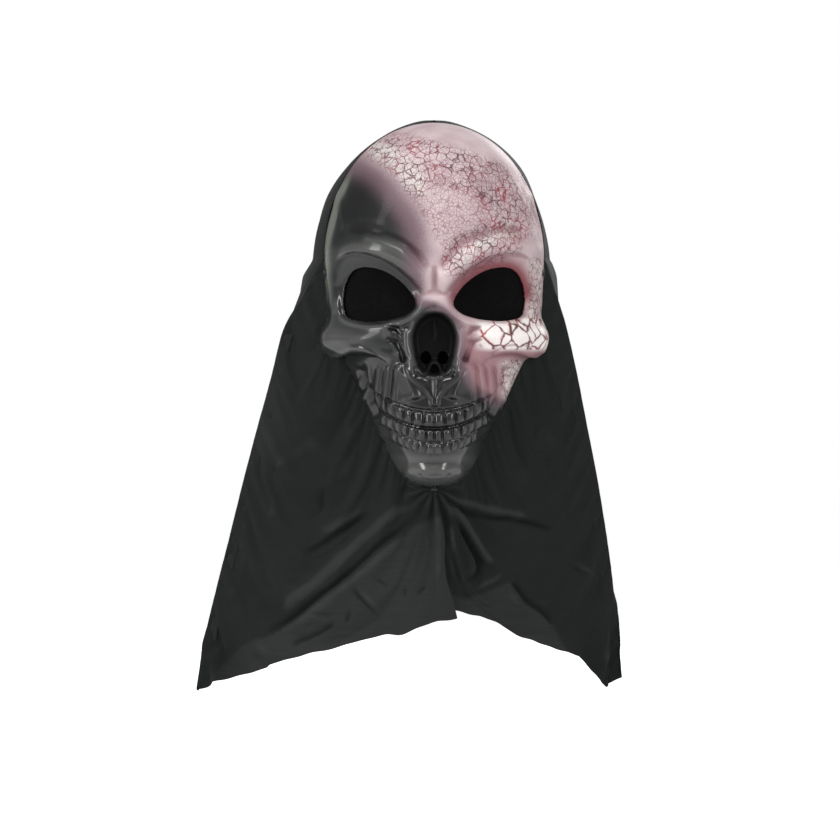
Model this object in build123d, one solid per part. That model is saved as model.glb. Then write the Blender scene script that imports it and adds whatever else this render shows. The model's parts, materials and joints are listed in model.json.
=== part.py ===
"""Skull face mask with a black cloth hood, as an assembly of separate pieces.

A thin moulded skull face is closed at the back by a cloth hood that hangs to two low side corners.
Cloth mesh fills the eye and nostril openings from inside, tapes bond the hood to the shell's rim,
and an elastic strap between two temple rivets holds the mask on the wearer's head.

Millimetres. +X is right as seen from the front, +Y is towards the back of the head and +Z is up.
The origin lies between the eyes, in the plane of the shell's upper rim.
"""
from build123d import *
import os
from math import atan2, cos, degrees, hypot, pi, sin

# ---- driving dimensions ----------------------------------------------------------------------
WALL = 1.6                # moulded shell thickness
CLOTH = 0.8               # cloth thickness as modelled
GAP = 0.15                # glue-line gap between pieces that lie on each other

DOME_Z = 38.0             # height of the skull's widest level above the origin
DOME_HALF_WIDTH = 85.4
DOME_RISE = 99.5          # from the widest level to the crown
FOREHEAD_Z = 40.0
FOREHEAD_DEPTH = 90.0
FOREHEAD_RISE = 97.5
SQUARENESS = 2.15         # power of the rounded horizontal sections; 2 would be an ellipse
DOME_POWER = 2.3          # power of the forehead's and the hood's rounded side view
SECTION_STEPS = 6         # spans of the curve through each half section
BACK_EXTENSION = 10.0     # how far the section curves run straight back past the rim plane

CHIN_RIM_Y = -38.0        # the rim is furthest forward under the chin
JAW_SLOPE = 0.44          # and runs back by this much for each millimetre sideways
JAW_TOP_Z = -20.0         # above this height the rim is a flat plane

EYE_INSET_SIDE = 42.8     # middle of each eye opening
MESH_OVERLAP = 5.0        # how far a mesh patch reaches past its opening
NOSE_BACK_Y = -66.0       # rear wall of the nasal recess
NOSTRIL_X, NOSTRIL_Z, NOSTRIL_R = 7.4, -45.0, 3.4
BROW_LINE = ((8, 8), (22, 25), (40, 35), (58, 38), (76, 31))    # (x, z) on the right half
BROW_R, BROW_SINK = 7.0, 4.0
CHEEK_LINE, CHEEK_END = ((30, -28), (50, -30), (68, -31)), (79.3, 6, -30)
CHEEK_R, CHEEK_SINK = 10.0, 6.0
CHIN_BOSS_X, CHIN_BOSS_Z, CHIN_BOSS_R, CHIN_BOSS_SINK = 15.0, -131.0, 8.0, 5.0
TOOTH_PITCH, TOOTH_SINK, TEETH_PER_SIDE = 6.9, 1.9, 5
FAR_FRONT, FAR_BACK = -140.0, 200.0   # planes in front of and behind every piece

HOOD_BACK_Y = 118.0       # outside of the hood's flat back
CHIN_Z = -149.0           # where the two front edges of the hood are tacked together
SEAM_TOP_Z = -20.0        # top of the side seams
HINGE_GAP = 1.8           # cloth left out along each flap's fold line
HOOD_DOME_Z = 30.0        # below this height the hood's back is flat
HOOD_TOP_Z = 139.5
HOOD_INSET = 0.4          # how far the hood's front edge lies inside the shell's outline
SKULL_TOP_Z = 136.6       # above this height the hood closes over the crown
CROWN_SHARE = 0.3         # width left in the hood's last section, as a share of the skull's there
HOOD_STEPS = 7            # spans of the curve through each hood section
BACK_HEM_Z = -225.0       # middle of the back hem
MESH = 0.6                # thickness of the mesh patches
TAPE = 0.8                # thickness of the tapes
LABEL_Y, LABEL_Z, LABEL_DROP = 116.1, -150.0, 34.0

STRAP_Y, STRAP_Z = -14.0, 20.0   # pivot of the head strap
STRAP_X = 79.0                    # inner face of the strap's ends
STRAP_WIDTH, STRAP_THICK = 12.0, 1.2
STRAP_BACK_Y = 103.0
RIVET_R = 1.5

# Half-width and depth of the skull's lower levels: (z, half-width, depth).
FACE_LEVELS = (
    (38.0, 85.4, 90.0),
    (12.0, 84.6, 87.0),
    (-14.0, 82.6, 84.0),
    (-32.0, 78.0, 85.0),
    (-48.0, 69.0, 86.0),
    (-72.0, 58.8, 88.0),
    (-96.0, 47.2, 89.0),
    (-120.0, 35.6, 88.0),
    (-135.0, 27.6, 82.0),
    (-143.5, 16.0, 66.0),
)
DOME_LEVELS = (58.0, 78.0, 96.0, 112.0, 124.0, 132.0, 136.5)

# Side seam of the hood, seen from the front: (x, z), from the top down.
LEFT_SEAM = ((-117.0, SEAM_TOP_Z), (-141.0, -105.0), (-172.0, -230.0), (-186.3, -304.7))
RIGHT_SEAM = ((102.5, SEAM_TOP_Z), (120.0, -100.0), (135.0, -180.0), (146.6, -294.3))
HOOD_LEVELS = (-320.0, -230.0, -150.0, -85.0, -20.0, 0.0, 20.0, 50.0, 80.0, 105.0, 122.0, 132.0,
               136.5, 138.6)
# How far the hood stands out beyond its front edge: (z, bulge).
HOOD_BULGE = ((-320.0, 4.0), (-20.0, 6.0), (0.0, 20.0), (20.0, 27.0), (50.0, 19.0), (75.0, 16.0),
              (99.0, 9.0), (122.0, 5.0), (139.0, 1.0))
RIGHT_TIP = (133.2, -303.3)        # lowest point of the hood's right side
LEFT_CORNER, RIGHT_CORNER = (-186.3, -304.7), (112.0, -277.0)   # where the folds meet the hem
LEFT_SLIT_FOOT, RIGHT_SLIT_FOOT = (14.8, -243.7), (16.4, -236.5)
LEFT_HEM = ((-52.9, -263.0), (-127.3, -282.4))
RIGHT_HEM = ((45.0, -244.5), (84.1, -262.0))


def write(name, *solids):
    """Writes one node's solids to its STEP file."""
    shape = solids[0] if len(solids) == 1 else Compound(children=list(solids))
    shape.label = name
    export_step(shape, f"parts/{name}.step")


def along(table, z, column=1):
    """Straight-line interpolation down a table of rows that start with a height."""
    rows = sorted(table)
    if z <= rows[0][0]:
        return rows[0][column]
    for a, b in zip(rows, rows[1:]):
        if z <= b[0]:
            return a[column] + (b[column] - a[column]) * (z - a[0]) / (b[0] - a[0])
    return rows[-1][column]


def skull_size(z):
    """Half-width and depth of the skull's outside at height z."""
    if z > DOME_Z:
        width = DOME_HALF_WIDTH * (1 - ((z - DOME_Z) / DOME_RISE) ** 2) ** 0.5
        rise = max(0.0, (z - FOREHEAD_Z) / FOREHEAD_RISE)
        return width, FOREHEAD_DEPTH * (1 - rise**DOME_POWER) ** (1 / DOME_POWER)
    return along(FACE_LEVELS, z, 1), along(FACE_LEVELS, z, 2)


# ---- skull shell -------------------------------------------------------------------------------
def skull_section(z, inset):
    """Right half of a horizontal section: a rounded front and a straight side behind the rim."""
    width, depth = (size - inset for size in skull_size(z))
    power = 2 / SQUARENESS
    points = [Vector(width, 0, z)]
    for step in range(1, SECTION_STEPS):
        angle = pi / 2 * step / SECTION_STEPS
        points.append(Vector(width * cos(angle) ** power, -depth * sin(angle) ** power, z))
    points.append(Vector(0, -depth, z))
    front = Spline(*points, tangents=[(0, -1, 0), (-1, 0, 0)])
    rest = Polyline((0, -depth, z), (0, BACK_EXTENSION, z), (width, BACK_EXTENSION, z), (width, 0, z))
    return make_face([front, rest])


def skull_solid(inset):
    """The skull's outside as one solid, drawn in by inset all round."""
    levels = sorted([row[0] for row in FACE_LEVELS] + list(DOME_LEVELS))
    levels[0] += inset
    levels[-1] -= inset
    half = loft([skull_section(z, inset) for z in levels])
    return half + mirror(half, Plane.YZ)


def bar(points, radius):
    """A round bar along a smooth path, with ball ends."""
    path = Spline(*points)
    tube = sweep(Plane(path @ 0, z_dir=path % 0) * Circle(radius), path)
    return tube + Pos(path @ 0) * Sphere(radius) + Pos(path @ 1) * Sphere(radius)


def mirrored(shape):
    """shape together with its mirror image across the middle plane."""
    return [shape, mirror(shape, Plane.YZ)]


def eye_outline(grow=0.0):
    """Right-hand eye opening seen from the front: slanted above, flat below."""
    points = ((14.6, -3.6), (23.0, 9.8), (37.0, 20.2), (52.0, 24.0), (65.0, 18.5), (70.8, 1.0),
              (66.5, -14.4), (48.0, -17.4), (26.0, -14.6))
    middle_x, middle_z = EYE_INSET_SIDE, 0.0
    grown = []
    for x, z in points:
        reach = hypot(x - middle_x, z - middle_z)
        scale = (reach + grow) / reach
        grown.append((middle_x + (x - middle_x) * scale, middle_z + (z - middle_z) * scale))
    return front_face(Spline(*[(x, 0, z) for x, z in grown], periodic=True))


def front_face(*edges):
    """A face in the XZ plane from closed edges."""
    return make_face(list(edges), Plane.XZ)


def through(face, y_from, y_to):
    """face pushed along Y from y_from to y_to."""
    return extrude(Pos(0, y_from, 0) * face, y_to - y_from, dir=(0, 1, 0))


def nose_outline(grow=0.0):
    """The pear-shaped nasal opening seen from the front."""
    points = ((0.0, -9.0 + grow), (13.0 + grow, -19.0), (17.5 + grow, -34.0), (12.5 + grow, -50.0),
              (0.0, -57.0 - grow))
    right = [(x, 0, z) for x, z in points]
    left = [(-x, 0, z) for x, z in reversed(points[1:-1])]
    return front_face(Spline(*right, *left, periodic=True))


def under_surface(x, z, sink):
    """The point sunk into the skull below the place that shows at (x, z) from the front."""
    width, depth = skull_size(z)
    y = -depth * (1 - abs(x / width) ** SQUARENESS) ** (1 / SQUARENESS)
    slope_x = abs(x / width) ** (SQUARENESS - 1) / width
    slope_y = abs(y / depth) ** (SQUARENESS - 1) / depth
    length = hypot(slope_x, slope_y)
    side = 1 if x > 0 else -1
    return Vector(x - side * sink * slope_x / length, y + sink * slope_y / length, z)


def tooth(x, z, radius, height):
    """One tooth: a round-ended peg bedded in the jaw's front."""
    peg = Cylinder(radius, height) + Pos(0, 0, height / 2) * Sphere(radius)
    return Pos(under_surface(x, z, TOOTH_SINK)) * (peg + Pos(0, 0, -height / 2) * Sphere(radius))


def make_teeth():
    """Two smiling rows of teeth."""
    teeth = []
    for index in range(TEETH_PER_SIDE):
        x = TOOTH_PITCH * (index + 0.5)
        for side in (-1, 1):
            teeth.append(tooth(x * side, -92.5 + 7.0 * (x / 38) ** 2, 3.3, 6.0))
            teeth.append(tooth(x * side, -105.4 + 8.0 * (x / 35) ** 2, 3.2, 3.4))
    return teeth


def jaw_wedge():
    """Everything behind the jaw's two slanting rim planes, below the flat upper rim."""
    reach, low = 260.0, -420.0
    side_y = CHIN_RIM_Y + JAW_SLOPE * reach
    plan = Polyline((0, CHIN_RIM_Y, low), (reach, side_y, low), (reach, 400, low), (-reach, 400, low),
                    (-reach, side_y, low), (0, CHIN_RIM_Y, low))
    return extrude(make_face(plan), JAW_TOP_Z - low, dir=(0, 0, 1))


def make_shell():
    """The moulded face with its brow, cheekbones, nasal recess, teeth, chin and openings."""
    outer = skull_solid(0)
    brow = bar([under_surface(x, z, BROW_SINK) for x, z in BROW_LINE], BROW_R)
    cheek = bar([*[under_surface(x, z, CHEEK_SINK) for x, z in CHEEK_LINE], CHEEK_END], CHEEK_R)
    chin_x = (-CHIN_BOSS_X, 0, CHIN_BOSS_X)
    chin = bar([under_surface(x, CHIN_BOSS_Z, CHIN_BOSS_SINK) for x in chin_x], CHIN_BOSS_R)
    outer = outer + [*mirrored(brow), *mirrored(cheek), chin, *make_teeth()]
    outer = outer - through(nose_outline(), FAR_FRONT, NOSE_BACK_Y)
    inner = skull_solid(WALL) - through(nose_outline(WALL), FAR_FRONT, NOSE_BACK_Y + WALL)
    shell = outer - inner
    shell = shell - Pos(0, 100, 0) * Box(400, 200, 400)
    shell = shell - jaw_wedge()
    for opening in mirrored(through(eye_outline(), FAR_FRONT, 0)):
        shell = shell - opening
    for x in (-NOSTRIL_X, NOSTRIL_X):
        shell = shell - Pos(x, NOSE_BACK_Y, NOSTRIL_Z) * Rot(90, 0, 0) * Cylinder(NOSTRIL_R, 12)
    rivet_hole = Pos(0, STRAP_Y, STRAP_Z) * Rot(0, 90, 0) * Cylinder(RIVET_R + 0.05, 220)
    return shell - rivet_hole


# ---- mesh patches and rim tapes ----------------------------------------------------------------
def inside_layer(clearance, thickness):
    """A skin of the given thickness lying clearance inside the shell's inner face."""
    return skull_solid(WALL + clearance) - skull_solid(WALL + clearance + thickness)


def make_eye_meshes(layer):
    """Left and right cloth mesh glued over the eye openings from inside."""
    patch = layer & through(eye_outline(MESH_OVERLAP), FAR_FRONT, 0)
    return mirror(patch, Plane.YZ), patch


def make_nose_mesh():
    """Cloth mesh behind both nostril openings, on the rear of the nasal recess."""
    front = NOSE_BACK_Y + WALL + GAP
    return Pos(0, front + MESH / 2, NOSTRIL_Z) * Box(24, MESH, 12)


def make_crown_binding(layer):
    """Tape inside the shell's upper rim, up to the front edge of the hood."""
    front, back, low, high = -8.0, 0.2, JAW_TOP_Z + 2, 200.0
    return layer & (Pos(0, (front + back) / 2, (low + high) / 2) * Box(400, back - front, high - low))


def jaw_outline(grow):
    """Right-hand outline of the shell below the eyes, from the temple down to the chin."""
    points = ((85.3, 20), (84.4, 2), (83.4, -11), (89.7, -28), (86.0, -40), (70.8, -47.5),
              (59.6, -72), (48.0, -96), (36.4, -120), (28.2, -135), (16.0, -144.0), (0, -144.6))
    grown = []
    for x, z in points:
        down = grow if z < -130 else 0
        out = grow * min(1.0, x / 16)
        grown.append((x + out, z - down))
    return grown


def jaw_sheet(face, side, front, back):
    """The part of face's prism between two planes parallel to the jaw's rim plane on one side."""
    def plane_y(x):
        return CHIN_RIM_Y + JAW_SLOPE * side * x
    near, far = -60 * side, 300 * side
    plan = Polyline((near, plane_y(near) + front, -400), (far, plane_y(far) + front, -400),
                    (far, plane_y(far) + back, -400), (near, plane_y(near) + back, -400),
                    (near, plane_y(near) + front, -400))
    slab = extrude(make_face(plan), 600, dir=(0, 0, 1))
    return through(face, FAR_FRONT, FAR_BACK) & slab


def flat_spline(points):
    """A smooth edge in the XZ plane through (x, z) points."""
    return Spline(*[(x, 0, z) for x, z in points])


def flat_line(*points):
    """Straight edges in the XZ plane through (x, z) points."""
    return Polyline(*[(x, 0, z) for x, z in points])


def make_jaw_binding(side):
    """Tape behind the jaw's rim on one side, over the shell's edge and the hood's edge."""
    outer = [(x * side, z) for x, z in jaw_outline(4.0)[3:-1]]
    inner = [(x * side, z) for x, z in jaw_outline(-2.6)[3:-1]]
    face = front_face(flat_spline(outer), flat_line(outer[-1], inner[-1]), flat_spline(inner[::-1]),
                      flat_line(inner[0], outer[0]))
    return jaw_sheet(face, side, CLOTH / 2 + GAP, CLOTH / 2 + GAP + TAPE)


# ---- hood --------------------------------------------------------------------------------------
def seam_points(side):
    return LEFT_SEAM if side < 0 else RIGHT_SEAM


def along_seam(side, z):
    """Where the side seam stands at height z."""
    return along([(height, x) for x, height in seam_points(side)], z)


def corner(side):
    return LEFT_CORNER if side < 0 else RIGHT_CORNER


def fold_strip(side):
    """The narrow strip of cloth left out along the fold from the chin to the hem."""
    x, z = corner(side)
    length = hypot(x, z - CHIN_Z)
    tilt = -degrees(atan2(z - CHIN_Z, x))
    return Pos(x / 2, 0, (CHIN_Z + z) / 2) * Rot(0, tilt, 0) * Box(length + 20, 400, HINGE_GAP)


def make_front_panel(side):
    """The fixed front cloth between the jaw's rim, the side seam and the fold of the flap."""
    edge = [(x * side, z) for x, z in jaw_outline(0.6)[:-1]]
    seam = list(seam_points(side))
    foot = [LEFT_CORNER] if side < 0 else [seam[-1], RIGHT_TIP, RIGHT_CORNER]
    face = front_face(
        flat_spline(edge),
        flat_line(edge[-1], (2.6 * side, edge[-1][1] - 0.3), (2.6 * side, CHIN_Z), *foot[::-1]),
        flat_spline(seam[::-1]),
        flat_line(seam[0], edge[0]),
    )
    return jaw_sheet(face, side, -CLOTH / 2, CLOTH / 2) - fold_strip(side)


def make_flap(side):
    """The free cloth below the fold, which hangs from the chin beside the front slit."""
    foot = LEFT_SLIT_FOOT if side < 0 else RIGHT_SLIT_FOOT
    hem = LEFT_HEM if side < 0 else RIGHT_HEM
    top = (0.7 * side, CHIN_Z)
    face = front_face(flat_line(corner(side), top, foot), flat_spline([foot, *hem, corner(side)]))
    return jaw_sheet(face, side, -CLOTH / 2, CLOTH / 2) - fold_strip(side)


def back_y(z):
    """How far back the hood's middle reaches at height z."""
    rise = max(0.0, (z - HOOD_DOME_Z) / (HOOD_TOP_Z - HOOD_DOME_Z))
    return HOOD_BACK_Y * (1 - rise**DOME_POWER) ** (1 / DOME_POWER)


def hood_start(z, side):
    """Where the back panel's front edge lies at height z: on the side seam, or behind the rim."""
    seam_x = abs(along_seam(side, z))
    seam_y = CHIN_RIM_Y + JAW_SLOPE * seam_x + CLOTH / 2 + GAP
    if z <= SEAM_TOP_Z:
        return seam_x, seam_y
    rim_x = skull_size(min(z, SKULL_TOP_Z))[0]
    if z > SKULL_TOP_Z:
        rim_x *= CROWN_SHARE
    share = min(1.0, (z - SEAM_TOP_Z) / 40)
    return (seam_x + (rim_x - HOOD_INSET - seam_x) * share,
            seam_y + (HOOD_INSET - seam_y) * share)


def hood_section(z, side):
    """A thin band round one side of the hood, from its front edge to the middle of the back."""
    start_x, start_y = hood_start(z, side)
    middle = 0.2
    power = 2 / DOME_POWER
    curves = []
    for inset in (0, CLOTH):
        points = []
        for step in range(HOOD_STEPS + 1):
            angle = pi / 2 * step / HOOD_STEPS
            c, s = cos(angle) if step < HOOD_STEPS else 0.0, sin(angle)
            x = middle + (start_x - inset - middle) * c**power
            x += along(HOOD_BULGE, z) * abs(2 * s * c) ** 0.7
            y = start_y + (back_y(z) - inset - start_y) * s**power
            points.append((x * side, y, z))
        curves.append(points)
    outer, inner = Spline(*curves[0]), Spline(*curves[1][::-1])
    return make_face([outer, Line(outer @ 1, inner @ 0), inner, Line(inner @ 1, outer @ 0)])


def make_back_panel(side):
    """One half of the hood's sides, crown and back, ending below in an arched hem."""
    body = loft([hood_section(z, side) for z in HOOD_LEVELS], ruled=True)
    seam = seam_points(side)
    low_x, low_z = seam[-1]
    hem = [(low_x, low_z), (low_x * 0.5, low_z + 45), (0, BACK_HEM_Z)]
    under = front_face(
        flat_spline(hem),
        flat_line(hem[-1], (-20 * side, BACK_HEM_Z), (-20 * side, -420), (low_x * 1.5, -420),
                  (low_x * 1.5, low_z), hem[0]),
    )
    return body - through(under, FAR_FRONT, FAR_BACK)


def make_seam_tape():
    """Tape over the middle seam of the hood's flat back, down to the hem."""
    top, foot, front = 10.0, BACK_HEM_Z + 3, HOOD_BACK_Y + 2 * GAP
    return Pos(0, front + TAPE / 2, (top + foot) / 2) * Box(12, TAPE, top - foot)


def make_side_seam(side):
    """The seam allowance that lies inside the front panel along one side seam."""
    heights = (-26.0, -105.0, -190.0, -268.0)
    edges = []
    for reach in (3.0, 9.0):
        edges.append([(along_seam(side, z) - side * reach, z) for z in heights])
    face = front_face(flat_spline(edges[0]), flat_line(edges[0][-1], edges[1][-1]),
                      flat_spline(edges[1][::-1]), flat_line(edges[1][0], edges[0][0]))
    return jaw_sheet(face, side, CLOTH / 2 + GAP, CLOTH / 2 + GAP + TAPE)


def make_chin_tack():
    """The knot of thread that ties both front edges of the hood together under the chin."""
    return Pos(0, CHIN_RIM_Y, CHIN_Z + 2.3) * Box(4.8, 3.2, 2.6)


# ---- head strap and label ----------------------------------------------------------------------
def strap_curve(inset):
    """Half of the strap's plan curve, from its front end to the middle of the back."""
    straight_y, steps, power = 20.0, 8, 2 / 2.2
    width = STRAP_X + STRAP_THICK - inset
    depth = STRAP_BACK_Y + STRAP_THICK - inset - straight_y
    points = []
    for step in range(steps + 1):
        angle = pi / 2 * step / steps
        c = cos(angle) if step < steps else 0.0
        points.append((width * c**power, straight_y + depth * sin(angle) ** power, 0))
    mirrored_points = [(-x, y, z) for x, y, z in reversed(points[:-1])]
    front = STRAP_Y - 6
    bend = Spline(*points, *mirrored_points, tangents=[(0, 1, 0), (0, -1, 0)])
    return [Line((width, front, 0), bend @ 0), bend, Line(bend @ 1, (-width, front, 0))]


def make_strap():
    """Flat elastic band round the back of the head, with a hole for a rivet near each end."""
    outer, inner = strap_curve(0), strap_curve(STRAP_THICK)
    ends = [Line(outer[0] @ 0, inner[0] @ 0), Line(outer[2] @ 1, inner[2] @ 1)]
    band = extrude(make_face([*outer, *inner, *ends]), STRAP_WIDTH, dir=(0, 0, 1))
    band = Pos(0, 0, STRAP_Z - STRAP_WIDTH / 2) * band
    return band - rivet_axis(-100, 100, RIVET_R + 0.05)


def rivet_axis(x_from, x_to, radius):
    """A cylinder on the strap's pivot line between two places across the head."""
    middle = (x_from + x_to) / 2
    return Pos(middle, STRAP_Y, STRAP_Z) * Rot(0, 90, 0) * Cylinder(radius, x_to - x_from)


def make_rivet():
    """Right-hand temple rivet: a flat head outside the shell and a closed head inside the strap."""
    shank = rivet_axis(STRAP_X - 1.6, 85.2, RIVET_R)
    return shank + rivet_axis(84.7, 85.7, 3.5) + rivet_axis(STRAP_X - 1.6, STRAP_X - 0.4, 3.0)


def make_washer():
    """Right-hand washer between the strap's end and the shell."""
    inner_face = STRAP_X + STRAP_THICK + 0.5
    return rivet_axis(inner_face, inner_face + 0.7, 4.0) - rivet_axis(inner_face - 1, inner_face + 2, 1.6)


def make_label():
    """A blank cloth label that hangs inside the hood from the middle seam."""
    return Pos(0, LABEL_Y, LABEL_Z - LABEL_DROP / 2) * Box(22, 0.4, LABEL_DROP)


def main():
    os.makedirs("parts", exist_ok=True)
    write("skull_shell", *make_shell().solids())
    layer = inside_layer(GAP, MESH)
    left, right = make_eye_meshes(layer)
    write("left_eye_mesh", *left.solids())
    write("right_eye_mesh", *right.solids())
    write("nose_mesh", make_nose_mesh())
    write("crown_binding", *make_crown_binding(inside_layer(GAP, TAPE)).solids())
    for name, side in (("left", -1), ("right", 1)):
        write(f"{name}_jaw_binding", *make_jaw_binding(side).solids())
        write(f"hood_front_{name}", *make_front_panel(side).solids())
        write(f"{name}_front_flap", *make_flap(side).solids())
        write(f"hood_back_{name}", *make_back_panel(side).solids())
        write(f"{name}_side_seam", make_side_seam(side))
    write("centre_seam_tape", make_seam_tape())
    write("chin_tack", make_chin_tack())
    write("head_strap", *make_strap().solids())
    rivet, washer = make_rivet(), make_washer()
    write("right_strap_rivet", rivet)
    write("left_strap_rivet", mirror(rivet, Plane.YZ))
    write("right_strap_washer", washer)
    write("left_strap_washer", mirror(washer, Plane.YZ))
    write("care_label", make_label())


main()
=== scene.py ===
"""Looks of a painted skull mask with a black cloth hood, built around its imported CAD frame.

Shapes are worked out in millimetres with numpy and turned into metres when a mesh is made.
+X is right as seen from the front, the face looks along -Y and +Z is up.
"""
import json
import math

import bpy
import numpy as np
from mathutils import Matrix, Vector


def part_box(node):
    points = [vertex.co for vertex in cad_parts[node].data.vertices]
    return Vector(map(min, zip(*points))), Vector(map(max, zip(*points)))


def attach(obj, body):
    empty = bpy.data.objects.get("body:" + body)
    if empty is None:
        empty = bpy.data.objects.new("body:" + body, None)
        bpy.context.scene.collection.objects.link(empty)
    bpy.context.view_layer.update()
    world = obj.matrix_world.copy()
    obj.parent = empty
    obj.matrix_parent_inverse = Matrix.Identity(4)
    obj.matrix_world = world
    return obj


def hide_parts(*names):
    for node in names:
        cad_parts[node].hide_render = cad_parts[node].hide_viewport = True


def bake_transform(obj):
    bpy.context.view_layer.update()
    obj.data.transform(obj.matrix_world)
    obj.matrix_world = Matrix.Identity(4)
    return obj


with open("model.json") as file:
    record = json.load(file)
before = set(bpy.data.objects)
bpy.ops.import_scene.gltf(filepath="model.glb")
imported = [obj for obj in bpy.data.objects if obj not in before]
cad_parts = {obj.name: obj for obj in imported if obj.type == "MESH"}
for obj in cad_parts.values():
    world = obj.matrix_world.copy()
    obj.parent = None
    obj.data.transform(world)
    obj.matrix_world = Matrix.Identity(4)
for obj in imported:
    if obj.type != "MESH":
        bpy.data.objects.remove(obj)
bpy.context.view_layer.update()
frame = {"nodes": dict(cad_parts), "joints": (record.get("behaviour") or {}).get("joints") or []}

MM = 0.001                       # metres in a millimetre
SIDES = {-1: "left", 1: "right"}
SHELL_WALL, CLOTH_WALL, MESH_CLOTH_WALL = 1.6, 0.5, 0.4
HEAD_WIDTH = 85.4                # half-width of the skull at its widest level
HEAD_Z, HEAD_RISE = 38.1, 99.4   # that level, and from there to the crown
FOREHEAD_Z, FOREHEAD_DEPTH = 40.0, 90.0
SQUARENESS = 2.15                # power of the skull's rounded horizontal sections
DOME_POWER = 2.3                 # power of the rounded domes of the forehead and of the hood
CHIN_RIM_Y, JAW_SLOPE = -38.0, 0.44   # the jaw's rim plane: y = CHIN_RIM_Y + JAW_SLOPE * |x|
JAW_TOP_Z = -20.0                # the rim is flat at y = 0 above this height


# ---- small tools -------------------------------------------------------------------------------
def smooth(value, low, high):
    """0 below low, 1 above high, and a smooth turn between."""
    t = np.clip((value - low) / (high - low), 0, 1)
    return t * t * (3 - 2 * t)


def bell(value, width):
    """1 at a value of 0, falling off smoothly over the width on both sides."""
    return np.exp(-((value / width) ** 2))


def xyz(x, y, z):
    """Points from their coordinates, each an array or a single number."""
    return np.stack(np.broadcast_arrays(x, y, z), axis=-1).astype(float)


def unit(vectors):
    return vectors / np.linalg.norm(vectors, axis=-1, keepdims=True)


def distances(points):
    """How far along a line each of its points lies."""
    steps = np.linalg.norm(np.diff(points, axis=0), axis=1)
    return np.concatenate([[0], np.cumsum(steps)])


def along_line(points, position, at):
    """The points of a line at given values of a position that grows from point to point."""
    return np.stack([np.interp(at, position, column) for column in points.T], axis=1)


def evenly(points, count):
    position = distances(points)
    return along_line(points, position, np.linspace(0, position[-1], count))


def box_mm(node):
    """Low and high corner of a CAD node's box, in millimetres."""
    return (np.array(corner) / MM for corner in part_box(node))


def curve(points, count):
    """count points evenly spaced along a smooth curve through the given points."""
    p = np.array(points, float)
    p = np.vstack([2 * p[0] - p[1], p, 2 * p[-1] - p[-2]])
    dense = []
    t = np.linspace(0, 1, 24, endpoint=False)[:, None]
    for a, b, c, d in zip(p, p[1:], p[2:], p[3:]):
        dense.append(0.5 * (2 * b + (c - a) * t + (2 * a - 5 * b + 4 * c - d) * t**2
                            + (3 * b - a - 3 * c + d) * t**3))
    return evenly(np.vstack([*dense, p[-2:-1]]), count)


def cornered(lines, count):
    """count evenly spaced points along smooth curves that meet at corners."""
    return evenly(np.vstack([curve(line, 300) for line in lines]), count)


def to_line(x, z, points):
    """Distance from every (x, z) to a line of points, positive on its left, and the share along it."""
    best = np.full(x.shape, 1e9)
    signed, along = np.zeros(x.shape), np.zeros(x.shape)
    points = np.array(points, float)
    for k, (a, b) in enumerate(zip(points, points[1:])):
        u = b - a
        t = np.clip(((x - a[0]) * u[0] + (z - a[1]) * u[1]) / (u @ u), 0, 1)
        dx, dz = x - a[0] - t * u[0], z - a[1] - t * u[1]
        d = np.hypot(dx, dz)
        near = d < best
        best = np.where(near, d, best)
        side = np.where(u[0] * dz - u[1] * dx >= 0, 1.0, -1.0)
        signed = np.where(near, side * d, signed)
        along = np.where(near, (k + t) / (len(points) - 1), along)
    return signed, along


def inside(x, z, outline):
    """Signed distance to a closed outline: negative inside it."""
    ring = np.vstack([outline, outline[:1]])
    distance = np.abs(to_line(x, z, ring)[0])
    odd = np.zeros(x.shape, bool)
    for a, b in zip(ring, ring[1:]):
        crosses = (a[1] > z) != (b[1] > z)
        with np.errstate(divide="ignore", invalid="ignore"):
            at = a[0] + (z - a[1]) * (b[0] - a[0]) / (b[1] - a[1])
        odd ^= crosses & (x < at)
    return np.where(odd, -distance, distance)


def closed_curve(points, count):
    """A smooth closed outline through the points."""
    p = np.array(points, float)
    wrapped = curve(np.vstack([p[-3:], p, p[:4]]), 400)
    start = np.argmin(np.linalg.norm(wrapped[:200] - p[0], axis=1))
    end = 200 + np.argmin(np.linalg.norm(wrapped[200:] - p[0], axis=1))
    return curve(wrapped[start:end + 1], count + 1)[:-1]


def mesh_object(name, verts_mm, faces, material=None, smooth_faces=True):
    """A mesh object from points in millimetres."""
    mesh = bpy.data.meshes.new(name)
    mesh.from_pydata((np.asarray(verts_mm) * MM).tolist(), [], [list(map(int, f)) for f in faces])
    mesh.update()
    if smooth_faces:
        mesh.polygons.foreach_set("use_smooth", np.ones(len(mesh.polygons), bool))
    obj = bpy.data.objects.new(name, mesh)
    bpy.context.scene.collection.objects.link(obj)
    if material is not None:
        mesh.materials.append(material)
    return obj


def grid_faces(rows, columns):
    """Quads of a grid whose points run along each row in turn, facing the viewer of those rows."""
    a = (np.arange(rows - 1)[:, None] * columns + np.arange(columns - 1)[None, :]).ravel()
    return np.stack([a, a + columns, a + columns + 1, a + 1], axis=1)


def store_shares(obj, shares):
    """Stores values per vertex for the materials to read."""
    for name, values in shares.items():
        attribute = obj.data.attributes.new(name, "FLOAT", "POINT")
        attribute.data.foreach_set("value", values.ravel().astype(np.float32))


def bake_modifiers(obj):
    """Replaces an object's mesh by the result of its modifiers and removes them."""
    graph = bpy.context.evaluated_depsgraph_get()
    mesh = bpy.data.meshes.new_from_object(obj.evaluated_get(graph), preserve_all_data_layers=True,
                                           depsgraph=graph)
    obj.modifiers.clear()
    obj.data = mesh


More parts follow.
